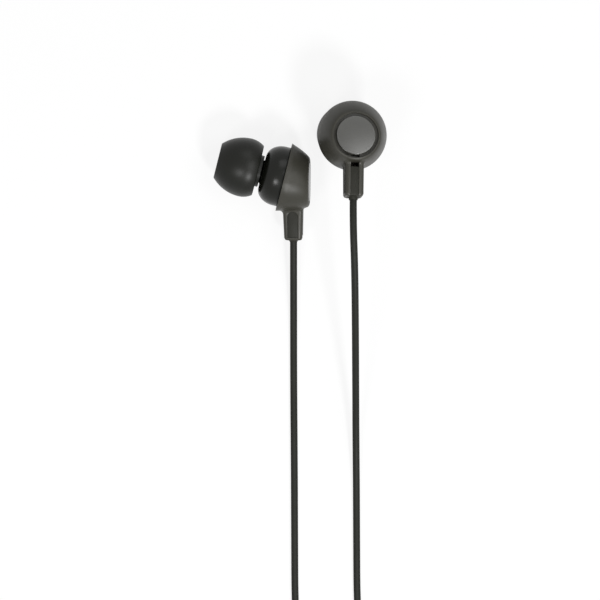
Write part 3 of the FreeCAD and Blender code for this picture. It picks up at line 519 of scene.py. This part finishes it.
# %% [markdown]
# ## Front housings
# The front drum is polished black plastic: a short cylinder with a wide round shoulder, then the sound tube
# with a lip that holds the ear tip. A fine step shows where it goes into the shell. A round fillet could make
# the shoulder if it were as deep as it is wide. It is deeper, so it is a quarter of an ellipse.

# %% Front housing
HOUSING_R, HOUSING_FACE_R = 6.25, 3.4
HOUSING_STRAIGHT, HOUSING_DEPTH = 1.0, 4.63
SKIRT_R, SKIRT_END = HOUSING_R - 0.35, -2.2
SEAT_R, HALL_R, HALL_START, HALL_TAPER = 5.3, 4.5, 1.6, 0.9
FACE_WALL = 0.95
TUBE_R, TUBE_LIP_R, TUBE_BORE = 2.3, 2.6, 1.7
LIP_LENGTH, LIP_RAMP = 0.8, 0.4
SCREEN_SEAT_R, SCREEN_SEAT = 2.05, 0.3
MOUTH = HOUSING_DEPTH + 6.0


def housing_outline():
    """The drum's closed profile: its shoulder goes as (r cos t, d sin t) from cylinder to flat face."""
    t = np.radians(np.linspace(0, 90, 16)[1:])
    shoulder_r = HOUSING_FACE_R + (HOUSING_R - HOUSING_FACE_R) * np.cos(t)
    shoulder_z = HOUSING_STRAIGHT + (HOUSING_DEPTH - HOUSING_STRAIGHT) * np.sin(t)
    inside = HOUSING_DEPTH - FACE_WALL
    lip_start = MOUTH - LIP_LENGTH
    return (
        [(SEAT_R, SKIRT_END, 0.1), (SKIRT_R, SKIRT_END, 0.1), (SKIRT_R, 0, 0)]
        + [(HOUSING_R, 0, 0.12), (HOUSING_R, HOUSING_STRAIGHT, 0)]
        + [(r, z, 0) for r, z in zip(shoulder_r, shoulder_z)]
        + [(TUBE_R, HOUSING_DEPTH, 0.4), (TUBE_R, lip_start - LIP_RAMP, 0.3)]
        + [(TUBE_LIP_R, lip_start, 0.1), (TUBE_LIP_R, MOUTH, 0.25)]
        + [(SCREEN_SEAT_R, MOUTH, 0.05), (SCREEN_SEAT_R, MOUTH - SCREEN_SEAT, 0)]
        + [(TUBE_BORE, MOUTH - SCREEN_SEAT, 0), (TUBE_BORE, inside, 0.2)]
        + [(HALL_R, inside - HALL_TAPER, 0.2), (HALL_R, HALL_START, 0), (SEAT_R, HALL_START, 0)]
    )


drum = housing_outline()
print("points of the drum's profile", len(drum))

# %% [markdown]
# ## Rear caps
# The disc in the shell's recess is polished too. It could be left flat, but a flat disc would mirror one spot
# of the room, all light or all dark. So it is very slightly crowned, and mirrors the lights softly.

# %% Rear cap
CAP_R, CAP_EDGE, CAP_CROWN = 4.0, 0.15, 0.16
RECESS = 0.6
SPIGOT_R, SPIGOT = 2.0, 0.9


def cap_outline():
    """The cap's closed profile: a spigot, a flange with a small round edge, and a crown as 1 - (r/R)^2."""
    r = np.linspace(CAP_R - CAP_EDGE, 0, 12)
    crown = CAP_CROWN * (1 - (r / CAP_R) ** 2)
    return (
        [(0, -RECESS - SPIGOT, 0), (SPIGOT_R, -RECESS - SPIGOT, 0.1), (SPIGOT_R, -RECESS, 0)]
        + [(CAP_R, -RECESS, 0.05), (CAP_R, 0, CAP_EDGE)]
        + [(x, z, 0) for x, z in zip(r, crown)]
    )


disc = cap_outline()
print("points of the cap's profile", len(disc))

# %% Turned pieces on both sides
for side, place in EARPHONES.items():
    forwards, rearwards = (SOUND_AXIS, place), (REAR_AXIS, place)
    revolved(side + "_tip_skin", tip, forwards, side + "_tip", "silicone", side + "_ear_tip")
    revolved(side + "_front_drum", drum, forwards, "earphones", "housing", side + "_front_housing")
    rear = revolved(side + "_rear_disc", disc, rearwards, "earphones", "cap", side + "_back_cap")
print("faces of a rear disc", len(rear.data.polygons))

# %% [markdown]
# ## Woven screens
# A fine steel cloth in the mouth of each sound tube keeps dust and wax out. An image of a mesh would look
# flat through the tip's bore. In a real plain weave every wire goes over one crossing wire and under the
# next, so each wire is a wave, and its neighbour is the same wave half a step on. A pressed rim holds the
# ends.

# %% The wires of a plain weave
SCREEN_R, WIRE_END_R = 2.0, 1.9
WIRE_PITCH, WIRE_R = 0.2, 0.035


def woven_wires(sides=6, per_pitch=6):
    """Points and faces of one family of wires, along X, of a plain weave.

    Wire k lies at y = k p, and its height is r cos(pi (x / p + k)) with pitch p and wire radius r. Its
    section is a circle about the line, spanned by Y and by the normal of the line in its own plane.
    """
    count = int(WIRE_END_R / WIRE_PITCH)
    k = np.arange(-count, count + 1)[:, None]
    reach = np.sqrt(WIRE_END_R**2 - (k * WIRE_PITCH) ** 2)
    steps = 2 * count * per_pitch
    x = reach * np.linspace(-1, 1, steps + 1)[None]
    phase = np.pi * (x / WIRE_PITCH + k)
    slope = -np.pi * WIRE_R / WIRE_PITCH * np.sin(phase)
    turn = np.linspace(0, 2 * np.pi, sides, endpoint=False)
    up, across = WIRE_R * np.sin(turn), WIRE_R * np.cos(turn)
    size = np.sqrt(1 + slope**2)[..., None]
    points = np.stack(
        [
            x[..., None] - slope[..., None] / size * up,
            k[..., None] * WIRE_PITCH + across + 0 * size,
            (WIRE_R * np.cos(phase))[..., None] + up / size,
        ],
        axis=-1,
    )
    ids = np.arange(points.size // 3).reshape(points.shape[:3])
    after = np.roll(ids, -1, 2)
    walls = np.stack([ids[:, :-1], after[:, :-1], after[:, 1:], ids[:, 1:]], axis=-1)
    ends = [*ids[:, 0, ::-1].tolist(), *ids[:, -1].tolist()]
    return points.reshape(-1, 3), walls.reshape(-1, 4).tolist() + ends


# %% Screens
SCREEN_MIDDLE = 10.405
RIM_INNER_R, RIM_HALF = 1.86, 0.075


def woven_screen(name, places, node):
    """Two families of wires, the second turned a quarter and upside down, and the rim as a turned ring."""
    warp, faces = woven_wires()
    weft = warp[:, [1, 0, 2]] * (1, 1, -1)
    t = np.linspace(0, 2 * np.pi, 97)[:-1, None]
    rim_r = np.array([RIM_INNER_R, SCREEN_R, SCREEN_R, RIM_INNER_R])
    rim_z = np.array([-RIM_HALF, -RIM_HALF, RIM_HALF, RIM_HALF])
    rim = np.stack([rim_r * np.cos(t), rim_r * np.sin(t), rim_z + 0 * t], axis=-1)
    ids = np.arange(rim.shape[0] * 4).reshape(-1, 4)
    along, onward = np.roll(ids, -1, 1), np.roll(ids, -1, 0)
    ring = np.stack([ids, along, np.roll(along, -1, 0), onward], axis=-1)
    points = np.vstack([warp, weft, rim.reshape(-1, 3)]) + (0, 0, SCREEN_MIDDLE)
    shift = len(warp)
    faces = faces + [[i + shift for i in face] for face in faces]
    faces += (ring.reshape(-1, 4) + 2 * shift).tolist()
    return mesh_piece(name, moved(points, *places), faces, "earphones", "steel_mesh", node)


for side, place in EARPHONES.items():
    screen = woven_screen(side + "_screen", (SOUND_AXIS, place), side + "_nozzle_mesh")
print("faces of a screen", len(screen.data.polygons))

# %% [markdown]
# ## Shells, boots, splitter and ties
# A shell is one moulding with an oblique body, a stem, windows and a cord channel. The measured solid has
# these forms exactly, so drawing them again would only lose some. Its mesh is loose flat triangles, though. A
# merged copy can be shaded smoothly, and a narrow bevel breaks the edges that a mould would have broken. The
# boots, the splitter and the ties are made the same way.

# %% A smooth copy of a measured solid
FLAT_ANGLE, EDGE_ANGLE = math.radians(0.5), math.radians(25)


def smooth_copy(name, node, body, slot, edge=0.06):
    """The node's triangles, corners merged and flat parts joined, with a bevel on edges over 25 degrees."""
    shape = bmesh.new()
    shape.from_mesh(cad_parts[node].data)
    bmesh.ops.remove_doubles(shape, verts=shape.verts, dist=2e-7)
    bmesh.ops.dissolve_limit(
        shape,
        angle_limit=FLAT_ANGLE,
        verts=shape.verts,
        edges=shape.edges,
        use_dissolve_boundaries=False,
    )
    mesh = bpy.data.meshes.new(name)
    shape.to_mesh(mesh)
    shape.free()
    mesh.shade_smooth()
    piece = bpy.data.objects.new(name, mesh)
    bpy.context.scene.collection.objects.link(piece)
    bevel = piece.modifiers.new("broken edges", "BEVEL")
    bevel.width = edge * MM
    bevel.segments = 2
    bevel.limit_method = "ANGLE"
    bevel.angle_limit = EDGE_ANGLE
    bevel.harden_normals = True
    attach(piece, body)
    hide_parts(node)
    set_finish(piece, slot)
    return piece


for side in EARPHONES:
    smooth_copy(side + "_shell", side + "_rear_shell", "earphones", "shell")
    smooth_copy(side + "_boot", side + "_stem_boot", "earphones", "boot")
splitter = smooth_copy("splitter", "y_splitter", "earphones", "splitter")
left_tie = smooth_copy("left_tie", "left_leg_tie", "earphones", "tie", 0.1)
right_tie = smooth_copy("right_tie", "right_leg_tie", "earphones", "tie", 0.1)
lead_tie = smooth_copy("lead_tie", "coil_tie", "earphones", "tie", 0.1)
print("faces of the splitter", len(splitter.data.polygons))

# %% [markdown]
# ## Plug
# A 3.5 mm plug has three turned contacts with dark rings between them, a moulded grip, and a ribbed boot that
# bends with the cord. Copies of the measured solids would do for it, but all of these are turned parts, so
# the helper that turns a profile gives them finer edges. The boot narrows towards the cord, and its grooves
# let it bend evenly.

# %% Where the plug lies
GRIP_R, GRIP_LENGTH = 3.2, 14.0
STRAIN_LENGTH = 8.0
GRIP_REAR = -GRIP_LENGTH
STRAIN_REAR = GRIP_REAR - STRAIN_LENGTH
PLUG_REAR_X, PLUG_GAP = -5.3, 0.6
PLUG_Y = LEAD_CENTRE[1] - LEAD_OUTER - LEAD_R - PLUG_GAP - GRIP_R
PLUG_AXIS = turned_by(("Y", 90)), np.array([PLUG_REAR_X - STRAIN_REAR, PLUG_Y, GRIP_R])
print("the grip's front is at", PLUG_AXIS[1])

# %% Bending boot
STRAIN_R, STRAIN_END_R, STRAIN_BORE = 2.5, 1.5, 1.05
STRAIN_BLIND = 2.0
PLAIN_REAR, PLAIN_ENDS = 1.2, 2.0
CUT_DEPTH, CUT_SHARE = 0.25, 0.4
PEG_R, PEG_LENGTH = 1.85, 3.0


def strain_outline(grooves=4):
    """The boot's closed profile: a cone from one radius to the other, with grooves that share its length."""
    step = (STRAIN_LENGTH - PLAIN_ENDS) / grooves
    outside = []
    for low in STRAIN_REAR + PLAIN_REAR + step * (np.arange(grooves) + 0.25):
        high = low + step * CUT_SHARE
        for z, inset in ((low, 0), (low, CUT_DEPTH), (high, CUT_DEPTH), (high, 0)):
            cone = STRAIN_END_R + (STRAIN_R - STRAIN_END_R) * (z - STRAIN_REAR) / STRAIN_LENGTH
            outside.append((cone - inset, z, 0.12))
    return (
        [(STRAIN_BORE, STRAIN_REAR, 0.05), (STRAIN_END_R, STRAIN_REAR, 0.2)]
        + outside
        + [(STRAIN_R, GRIP_REAR, 0.05), (PEG_R, GRIP_REAR, 0)]
        + [(PEG_R, GRIP_REAR + PEG_LENGTH, 0.1), (0, GRIP_REAR + PEG_LENGTH, 0)]
        + [(0, STRAIN_REAR + STRAIN_BLIND, 0), (STRAIN_BORE, STRAIN_REAR + STRAIN_BLIND, 0)]
    )


strain = strain_outline()
print("points of the boot's profile", len(strain))

# %% Grip
GRIP_NOSE_R, GRIP_NOSE = 2.6, 1.0
TAIL_R, TAIL_LENGTH = 2.2, 4.0
WIRE_WAY_R = 1.4
PLAY_R, PLAY_Z = 0.05, 0.02
peg_end = GRIP_REAR + PEG_LENGTH + PLAY_Z

grip_outline = [
    (PEG_R + PLAY_R, GRIP_REAR, 0.05),
    (GRIP_R, GRIP_REAR, 0.35),
    (GRIP_R, -GRIP_NOSE, 0.3),
    (GRIP_NOSE_R, -GRIP_NOSE, 0.05),
    (GRIP_NOSE_R, 0, 0.15),
    (TAIL_R + PLAY_R, 0, 0.05),
    (TAIL_R + PLAY_R, -TAIL_LENGTH, 0),
    (WIRE_WAY_R, -TAIL_LENGTH, 0),
    (WIRE_WAY_R, peg_end, 0),
    (PEG_R + PLAY_R, peg_end, 0),
]
print("points of the grip's profile", len(grip_outline))

# %% Contacts
CONTACT_R, CONTACT_BORE = 1.75, 0.65
POINT_START, POINT_END, POINT_BORE, POINT_WAIST_R = 11.0, 14.0, 0.6, 1.26
MIDDLE_START, MIDDLE_END = 8.0, 10.3
BODY_END = 7.3

point_outline = [
    (POINT_BORE, POINT_START, 0),
    (CONTACT_R, POINT_START, 0.05),
    (CONTACT_R, 11.15, 0.05),
    (POINT_WAIST_R, 11.45, 0.2),
    (CONTACT_R, 12.25, 0.2),
    (CONTACT_R, 12.45, 0.2),
    (0.75, 13.85, 0.2),
    (0.45, POINT_END, 0.15),
    (0, POINT_END, 0),
    (0, 13.4, 0),
    (POINT_BORE, 13.4, 0),
]
middle_outline = [
    (CONTACT_BORE, MIDDLE_START, 0),
    (CONTACT_R, MIDDLE_START, 0.06),
    (CONTACT_R, MIDDLE_END, 0.06),
    (CONTACT_BORE, MIDDLE_END, 0),
]
body_outline = [
    (CONTACT_BORE, -TAIL_LENGTH, 0),
    (TAIL_R, -TAIL_LENGTH, 0.05),
    (TAIL_R, 0, 0.05),
    (CONTACT_R, 0, 0),
    (CONTACT_R, BODY_END, 0.06),
    (CONTACT_BORE, BODY_END, 0),
]
print("points of the contacts' profiles", len(point_outline), len(middle_outline), len(body_outline))

# %% Plug pieces
plug_pieces = [
    revolved("plug_handle", grip_outline, [PLUG_AXIS], "earphones", "grip", "plug_grip"),
    revolved("plug_strain", strain, [PLUG_AXIS], "earphones", "grip", "plug_boot"),
    revolved("plug_point", point_outline, [PLUG_AXIS], "earphones", "contacts", "plug_tip"),
    revolved("plug_middle", middle_outline, [PLUG_AXIS], "earphones", "contacts", "plug_ring"),
    revolved("plug_body", body_outline, [PLUG_AXIS], "earphones", "contacts", "plug_sleeve"),
]
print("plug pieces", [piece.name for piece in plug_pieces])

# %% [markdown]
# ## The cords
# What makes a cord a cord is its fixed length, its thickness and where it leaves. The two legs are about
# 0.25 m each and the lead 0.74 m.

# %% The cords
print("cords declared for", left_leg.name, right_leg.name, lead.name)

# %% [markdown]
# ## Finishes
# No moulded surface is all one colour and gloss. A photograph of one could be laid on it, but that would have
# to be unwrapped and would blur close by. Here every finish is one shader with its own small noises: a mottle
# in the colour, a drift in the roughness, and a fine grain in the surface. They read object coordinates, so
# they stay with the piece from every side.

# %% Colours as they are seen
def paint(red, green, blue):
    """A colour given as it is seen on a screen, 0 to 255, as the linear numbers that a shader takes."""
    seen = np.array([red, green, blue]) / 255
    linear = np.where(seen <= 0.04045, seen / 12.92, ((seen + 0.055) / 1.055) ** 2.4)
    return (*linear.tolist(), 1.0)


print("a screen's middle grey is", round(paint(128, 128, 128)[0], 3))

# %% Mixing a finish
MOTTLE_SCALE, DRIFT_SCALE = 350.0, 600.0


def finish(name, colour, roughness, drift=0.08, mottle=0.12, grain=6.0, depth=0.01, **sockets):
    """A moulded surface: a bump of grain cells per millimetre, and slow noises in colour and roughness."""
    material = bpy.data.materials.new(name)
    material.use_nodes = True
    nodes, links = material.node_tree.nodes, material.node_tree.links
    shader = nodes["Principled BSDF"]
    place = nodes.new("ShaderNodeTexCoord")

    def noise(scale, detail=2.0):
        cells = nodes.new("ShaderNodeTexNoise")
        cells.inputs["Scale"].default_value = scale
        cells.inputs["Detail"].default_value = detail
        links.new(place.outputs["Object"], cells.inputs["Vector"])
        return cells.outputs["Fac"]

    tint = nodes.new("ShaderNodeMix")
    tint.data_type = "RGBA"
    tint.inputs["A"].default_value = (*[c * (1 - mottle) for c in colour[:3]], 1)
    tint.inputs["B"].default_value = (*[c * (1 + mottle) for c in colour[:3]], 1)
    links.new(noise(MOTTLE_SCALE), tint.inputs["Factor"])
    links.new(tint.outputs["Result"], shader.inputs["Base Color"])
    span = nodes.new("ShaderNodeMapRange")
    span.inputs["To Min"].default_value = roughness - drift
    span.inputs["To Max"].default_value = roughness + drift
    links.new(noise(DRIFT_SCALE, 4.0), span.inputs["Value"])
    links.new(span.outputs["Result"], shader.inputs["Roughness"])
    bump = nodes.new("ShaderNodeBump")
    bump.inputs["Strength"].default_value = 0.5
    bump.inputs["Distance"].default_value = depth * MM
    links.new(noise(grain / MM), bump.inputs["Height"])
    links.new(bump.outputs["Normal"], shader.inputs["Normal"])
    for socket, value in sockets.items():
        shader.inputs[socket.replace("_", " ")].default_value = value
    return material


# %% The finishes
FINISHES = {
    "silicone": finish("silicone", paint(18, 19, 15), 0.38, 0.04, Specular_IOR_Level=0.22),
    "housing": finish("polished black", paint(18, 19, 15), 0.24, 0.04, Specular_IOR_Level=0.22),
    "shell": finish("soft touch grey", paint(51, 50, 44), 0.4, Specular_IOR_Level=0.26),
    "cap": finish("polished grey", paint(58, 58, 54), 0.24, 0.03, Specular_IOR_Level=0.8),
    "boot": finish("matte rubber", paint(38, 38, 33), 0.5, Specular_IOR_Level=0.12),
    "cord": finish("cord jacket", paint(31, 32, 28), 0.5, depth=0.002, Specular_IOR_Level=0.12),
    "tie": finish("tie rubber", paint(34, 34, 34), 0.6),
    "splitter": finish("moulded black", paint(30, 30, 30), 0.4),
    "grip": finish("grip black", paint(30, 30, 30), 0.4),
    "contacts": finish("nickel", paint(205, 200, 190), 0.2, 0.05, 0.03, Metallic=1.0),
    "insulator": finish("insulator", paint(18, 18, 18), 0.4),
    "steel_mesh": finish("steel mesh", paint(160, 160, 158), 0.35, Metallic=1.0),
    "foam": finish("foam", paint(45, 45, 45), 0.9),
    "basket": finish("basket", paint(60, 60, 60), 0.5),
    "film": finish("film", paint(190, 180, 150), 0.35),
    "copper": finish("enamelled copper", paint(190, 110, 70), 0.3, Metallic=1.0),
    "enamel": finish("dark wire enamel", paint(34, 26, 20), 0.35, Specular_IOR_Level=0.2),
    "steel": finish("plated steel", paint(170, 170, 172), 0.3, Metallic=1.0),
    "magnet": finish("nickel plated magnet", paint(160, 160, 165), 0.25, Metallic=1.0),
    "felt": finish("paper felt", paint(205, 200, 188), 0.95),
    "board": finish("board", paint(30, 85, 50), 0.45),
    "crimp": finish("tinned", paint(175, 175, 175), 0.35, Metallic=1.0),
}
print("finishes", len(FINISHES))

# %% [markdown]
# ## Painted shade in the groove round the rear cap
# The groove between a shell's lip and its cap is one moulding with the shell, and it lies in shade, so it
# looks darker than the shell. That shade is painted: the shell's finish measures how deep a point lies and
# how far from the cap's axis, and mixes in a darker paint, a painted shade, where both are inside the groove.

# %% Painting the shade in the groove
# Painted shade: this darker colour stands in for the shade that falls in the groove.
GROOVE_SHADE = paint(44, 43, 38)
GROOVE_R, GROOVE_FADE = 4.98, 0.08
SHADE_STARTS, SHADE_COVERS = -0.02, -0.2


def paint_groove_shade(material, place):
    """The groove round the rear cap gets a painted shade, and the lip round it keeps the shell's colour.

    With the offset p from the middle of the lip's plane and the unit vector a out of the rear face, the depth
    is p . a and the distance from the axis |p x a|. The painted shade sets in from 0.02 to 0.2 mm under the
    lip.
    """
    nodes, links = material.node_tree.nodes, material.node_tree.links
    middle = moved(np.zeros((1, 3)), REAR_AXIS, place)[0]
    axis = place[0] @ REAR_AXIS[0] @ (0.0, 0.0, 1.0)
    where = nodes.new("ShaderNodeTexCoord").outputs["Object"]

    def reckoned(operation, vector, other=None):
        node = nodes.new("ShaderNodeVectorMath")
        node.operation = operation
        links.new(vector, node.inputs[0])
        if other is not None:
            node.inputs[1].default_value = other
        return node.outputs

    def within(value, zero, one):
        share = nodes.new("ShaderNodeMapRange")
        share.interpolation_type = "SMOOTHSTEP"
        share.inputs["From Min"].default_value = zero * MM
        share.inputs["From Max"].default_value = one * MM
        links.new(value, share.inputs["Value"])
        return share.outputs["Result"]

    offset = reckoned("SUBTRACT", where, middle * MM)["Vector"]
    depth = reckoned("DOT_PRODUCT", offset, axis)["Value"]
    aside = reckoned("CROSS_PRODUCT", offset, axis)["Vector"]
    distance = reckoned("LENGTH", aside)["Value"]
    both = nodes.new("ShaderNodeMath")
    both.operation = "MULTIPLY"
    links.new(within(depth, SHADE_STARTS, SHADE_COVERS), both.inputs[0])
    links.new(within(distance, GROOVE_R, GROOVE_R - GROOVE_FADE), both.inputs[1])
    # The darker colour mixed in here is painted shade, not a paint of the shell's own.
    painted_shade = nodes.new("ShaderNodeMix")
    painted_shade.data_type = "RGBA"
    painted_shade.inputs["B"].default_value = GROOVE_SHADE
    shader = nodes["Principled BSDF"]
    links.new(both.outputs["Value"], painted_shade.inputs["Factor"])
    links.new(shader.inputs["Base Color"].links[0].from_socket, painted_shade.inputs["A"])
    links.new(painted_shade.outputs["Result"], shader.inputs["Base Color"])


for place in EARPHONES.values():
    paint_groove_shade(FINISHES["shell"], place)
print("nodes in the shell's finish", len(FINISHES["shell"].node_tree.nodes))

# %% [markdown]
# ## A finish for every piece
# The new pieces carry the name of their finish already. The measured pieces that stay, such as the driver
# inside, could each be given one by its full name. Both earphones have the same ones, though, so the last
# words of a name are enough.

# %% Dressing the pieces
INNER_SLOTS = {
    "nozzle_mesh": "steel_mesh",
    "nozzle_damper": "foam",
    "driver_gasket": "foam",
    "driver_frame": "basket",
    "diaphragm": "film",
    "voice_coil": "copper",
    "pole_plate": "steel",
    "magnet": "magnet",
    "yoke": "steel",
    "vent_felt": "felt",
    "terminal_board": "board",
    "lead_wires": "enamel",
    "cord_crimp": "crimp",
    "plug_insulators": "insulator",
    "plug_core": "contacts",
}


def slot_of(node):
    """The finish of a measured piece, by the last words of its name."""
    return next((slot for word, slot in INNER_SLOTS.items() if node.endswith(word)), "grip")


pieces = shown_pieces()
for piece in pieces:
    slot = piece.get("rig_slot") or slot_of(piece.name)
    piece.data.materials.clear()
    piece.data.materials.append(FINISHES[slot])
print("pieces dressed", len(pieces))

# %% [markdown]
# ## Table
# The picture has a white ground. More light on a pale table would make it white, but would wash out the
# earphones too. The table glows white to the camera instead, and wherever it is mirrored or seen through
# something clear. The last bit of its own shading is left in, so that it takes a faint shadow.

# %% Table
TABLE_X, TABLE_Y = (-0.13, 0.14), (-0.22, 0.08)
TABLE_CLEARANCE = 0.00002

table = bpy.data.objects.new("table", bpy.data.meshes.new("table"))
table_corners = [(x, y, 0) for y in TABLE_Y for x in TABLE_X]
table.data.from_pydata(table_corners, [], [(0, 1, 3, 2)])
table.location.z = measured_box[0][2] - TABLE_CLEARANCE
bpy.context.scene.collection.objects.link(table)
print("table at", round(table.location.z, 6))

# %% White to the camera
TABLE_COLOUR = (0.85, 0.85, 0.85, 1)
TABLE_GLOW = 0.85


def seen_by(nodes, links):
    """1 for rays from the camera, from glossy surfaces and through clear ones, and 0 for the light itself."""
    path = nodes.new("ShaderNodeLightPath")
    first, second = nodes.new("ShaderNodeMath"), nodes.new("ShaderNodeMath")
    first.operation = second.operation = "MAXIMUM"
    links.new(path.outputs["Is Camera Ray"], first.inputs[0])
    links.new(path.outputs["Is Glossy Ray"], first.inputs[1])
    links.new(first.outputs["Value"], second.inputs[0])
    links.new(path.outputs["Is Transmission Ray"], second.inputs[1])
    return second.outputs["Value"]


white = bpy.data.materials.new("white table")
white.use_nodes = True
nodes, links = white.node_tree.nodes, white.node_tree.links
nodes["Principled BSDF"].inputs["Base Color"].default_value = TABLE_COLOUR
nodes["Principled BSDF"].inputs["Roughness"].default_value = 0.9
glow, blend = nodes.new("ShaderNodeEmission"), nodes.new("ShaderNodeMixShader")
amount = nodes.new("ShaderNodeMath")
amount.operation = "MULTIPLY"
amount.inputs[1].default_value = TABLE_GLOW
links.new(seen_by(nodes, links), amount.inputs[0])
links.new(amount.outputs["Value"], blend.inputs["Fac"])
links.new(nodes["Principled BSDF"].outputs["BSDF"], blend.inputs[1])
links.new(glow.outputs["Emission"], blend.inputs[2])
links.new(blend.outputs["Shader"], nodes["Material Output"].inputs["Surface"])
table.data.materials.append(white)
print("nodes in the table's finish", len(nodes))

# %% [markdown]
# ## Surroundings and lamps
# The light in the picture is broad and soft, from above and a little from the right, with a small bright spot
# on the polished drum. A lit sky alone would give no spot. So the surroundings are white to look at and give
# a little even light, and four soft lamps make the spot and the glow on the shells.

# %% Surroundings
EVEN_LIGHT, WHITE_LIGHT = 0.15, 1.0

world = bpy.data.worlds.new("studio")
bpy.context.scene.world = world
world.use_nodes = True
nodes, links = world.node_tree.nodes, world.node_tree.links
nodes["Background"].inputs["Color"].default_value = (1, 1, 1, 1)
bpy.context.scene.view_settings.view_transform = "Standard"
strength = nodes.new("ShaderNodeMapRange")
strength.inputs["To Min"].default_value = EVEN_LIGHT
strength.inputs["To Max"].default_value = WHITE_LIGHT
links.new(seen_by(nodes, links), strength.inputs["Value"])
links.new(strength.outputs["Result"], nodes["Background"].inputs["Strength"])
print("even light", EVEN_LIGHT, "white to look at", WHITE_LIGHT)

# %% Lamps
LAMP_DISTANCE = 0.6
LIT_SPOT = np.array([0.0, 0.0, 0.01])


def lamp(name, towards, width, power):
    """A square soft lamp that looks at the earphones from a direction."""
    light = bpy.data.lights.new(name, "AREA")
    light.shape = "RECTANGLE"
    light.size = light.size_y = width
    light.energy = power
    holder = bpy.data.objects.new(name, light)
    back = np.array(towards, float) / np.linalg.norm(towards)
    side = np.cross([0.0, 1.0, 0.0], back)
    side /= np.linalg.norm(side)
    holder.matrix_world = placing(side, np.cross(back, side), back, LIT_SPOT + LAMP_DISTANCE * back)
    bpy.context.scene.collection.objects.link(holder)
    return holder


lamps = [
    lamp("key", (0.27, -0.72, 1.0), width=0.1, power=2.3),
    lamp("panel", (0.42, 0.1, 1.0), width=0.34, power=1.1),
    lamp("glint", (-0.488, -0.39, 1.0), width=0.15, power=1.1),
    lamp("back", (0.2, 1.3, 1.0), width=0.3, power=0.4),
]
print("lamps", {holder.name: round(holder.data.energy, 2) for holder in lamps})
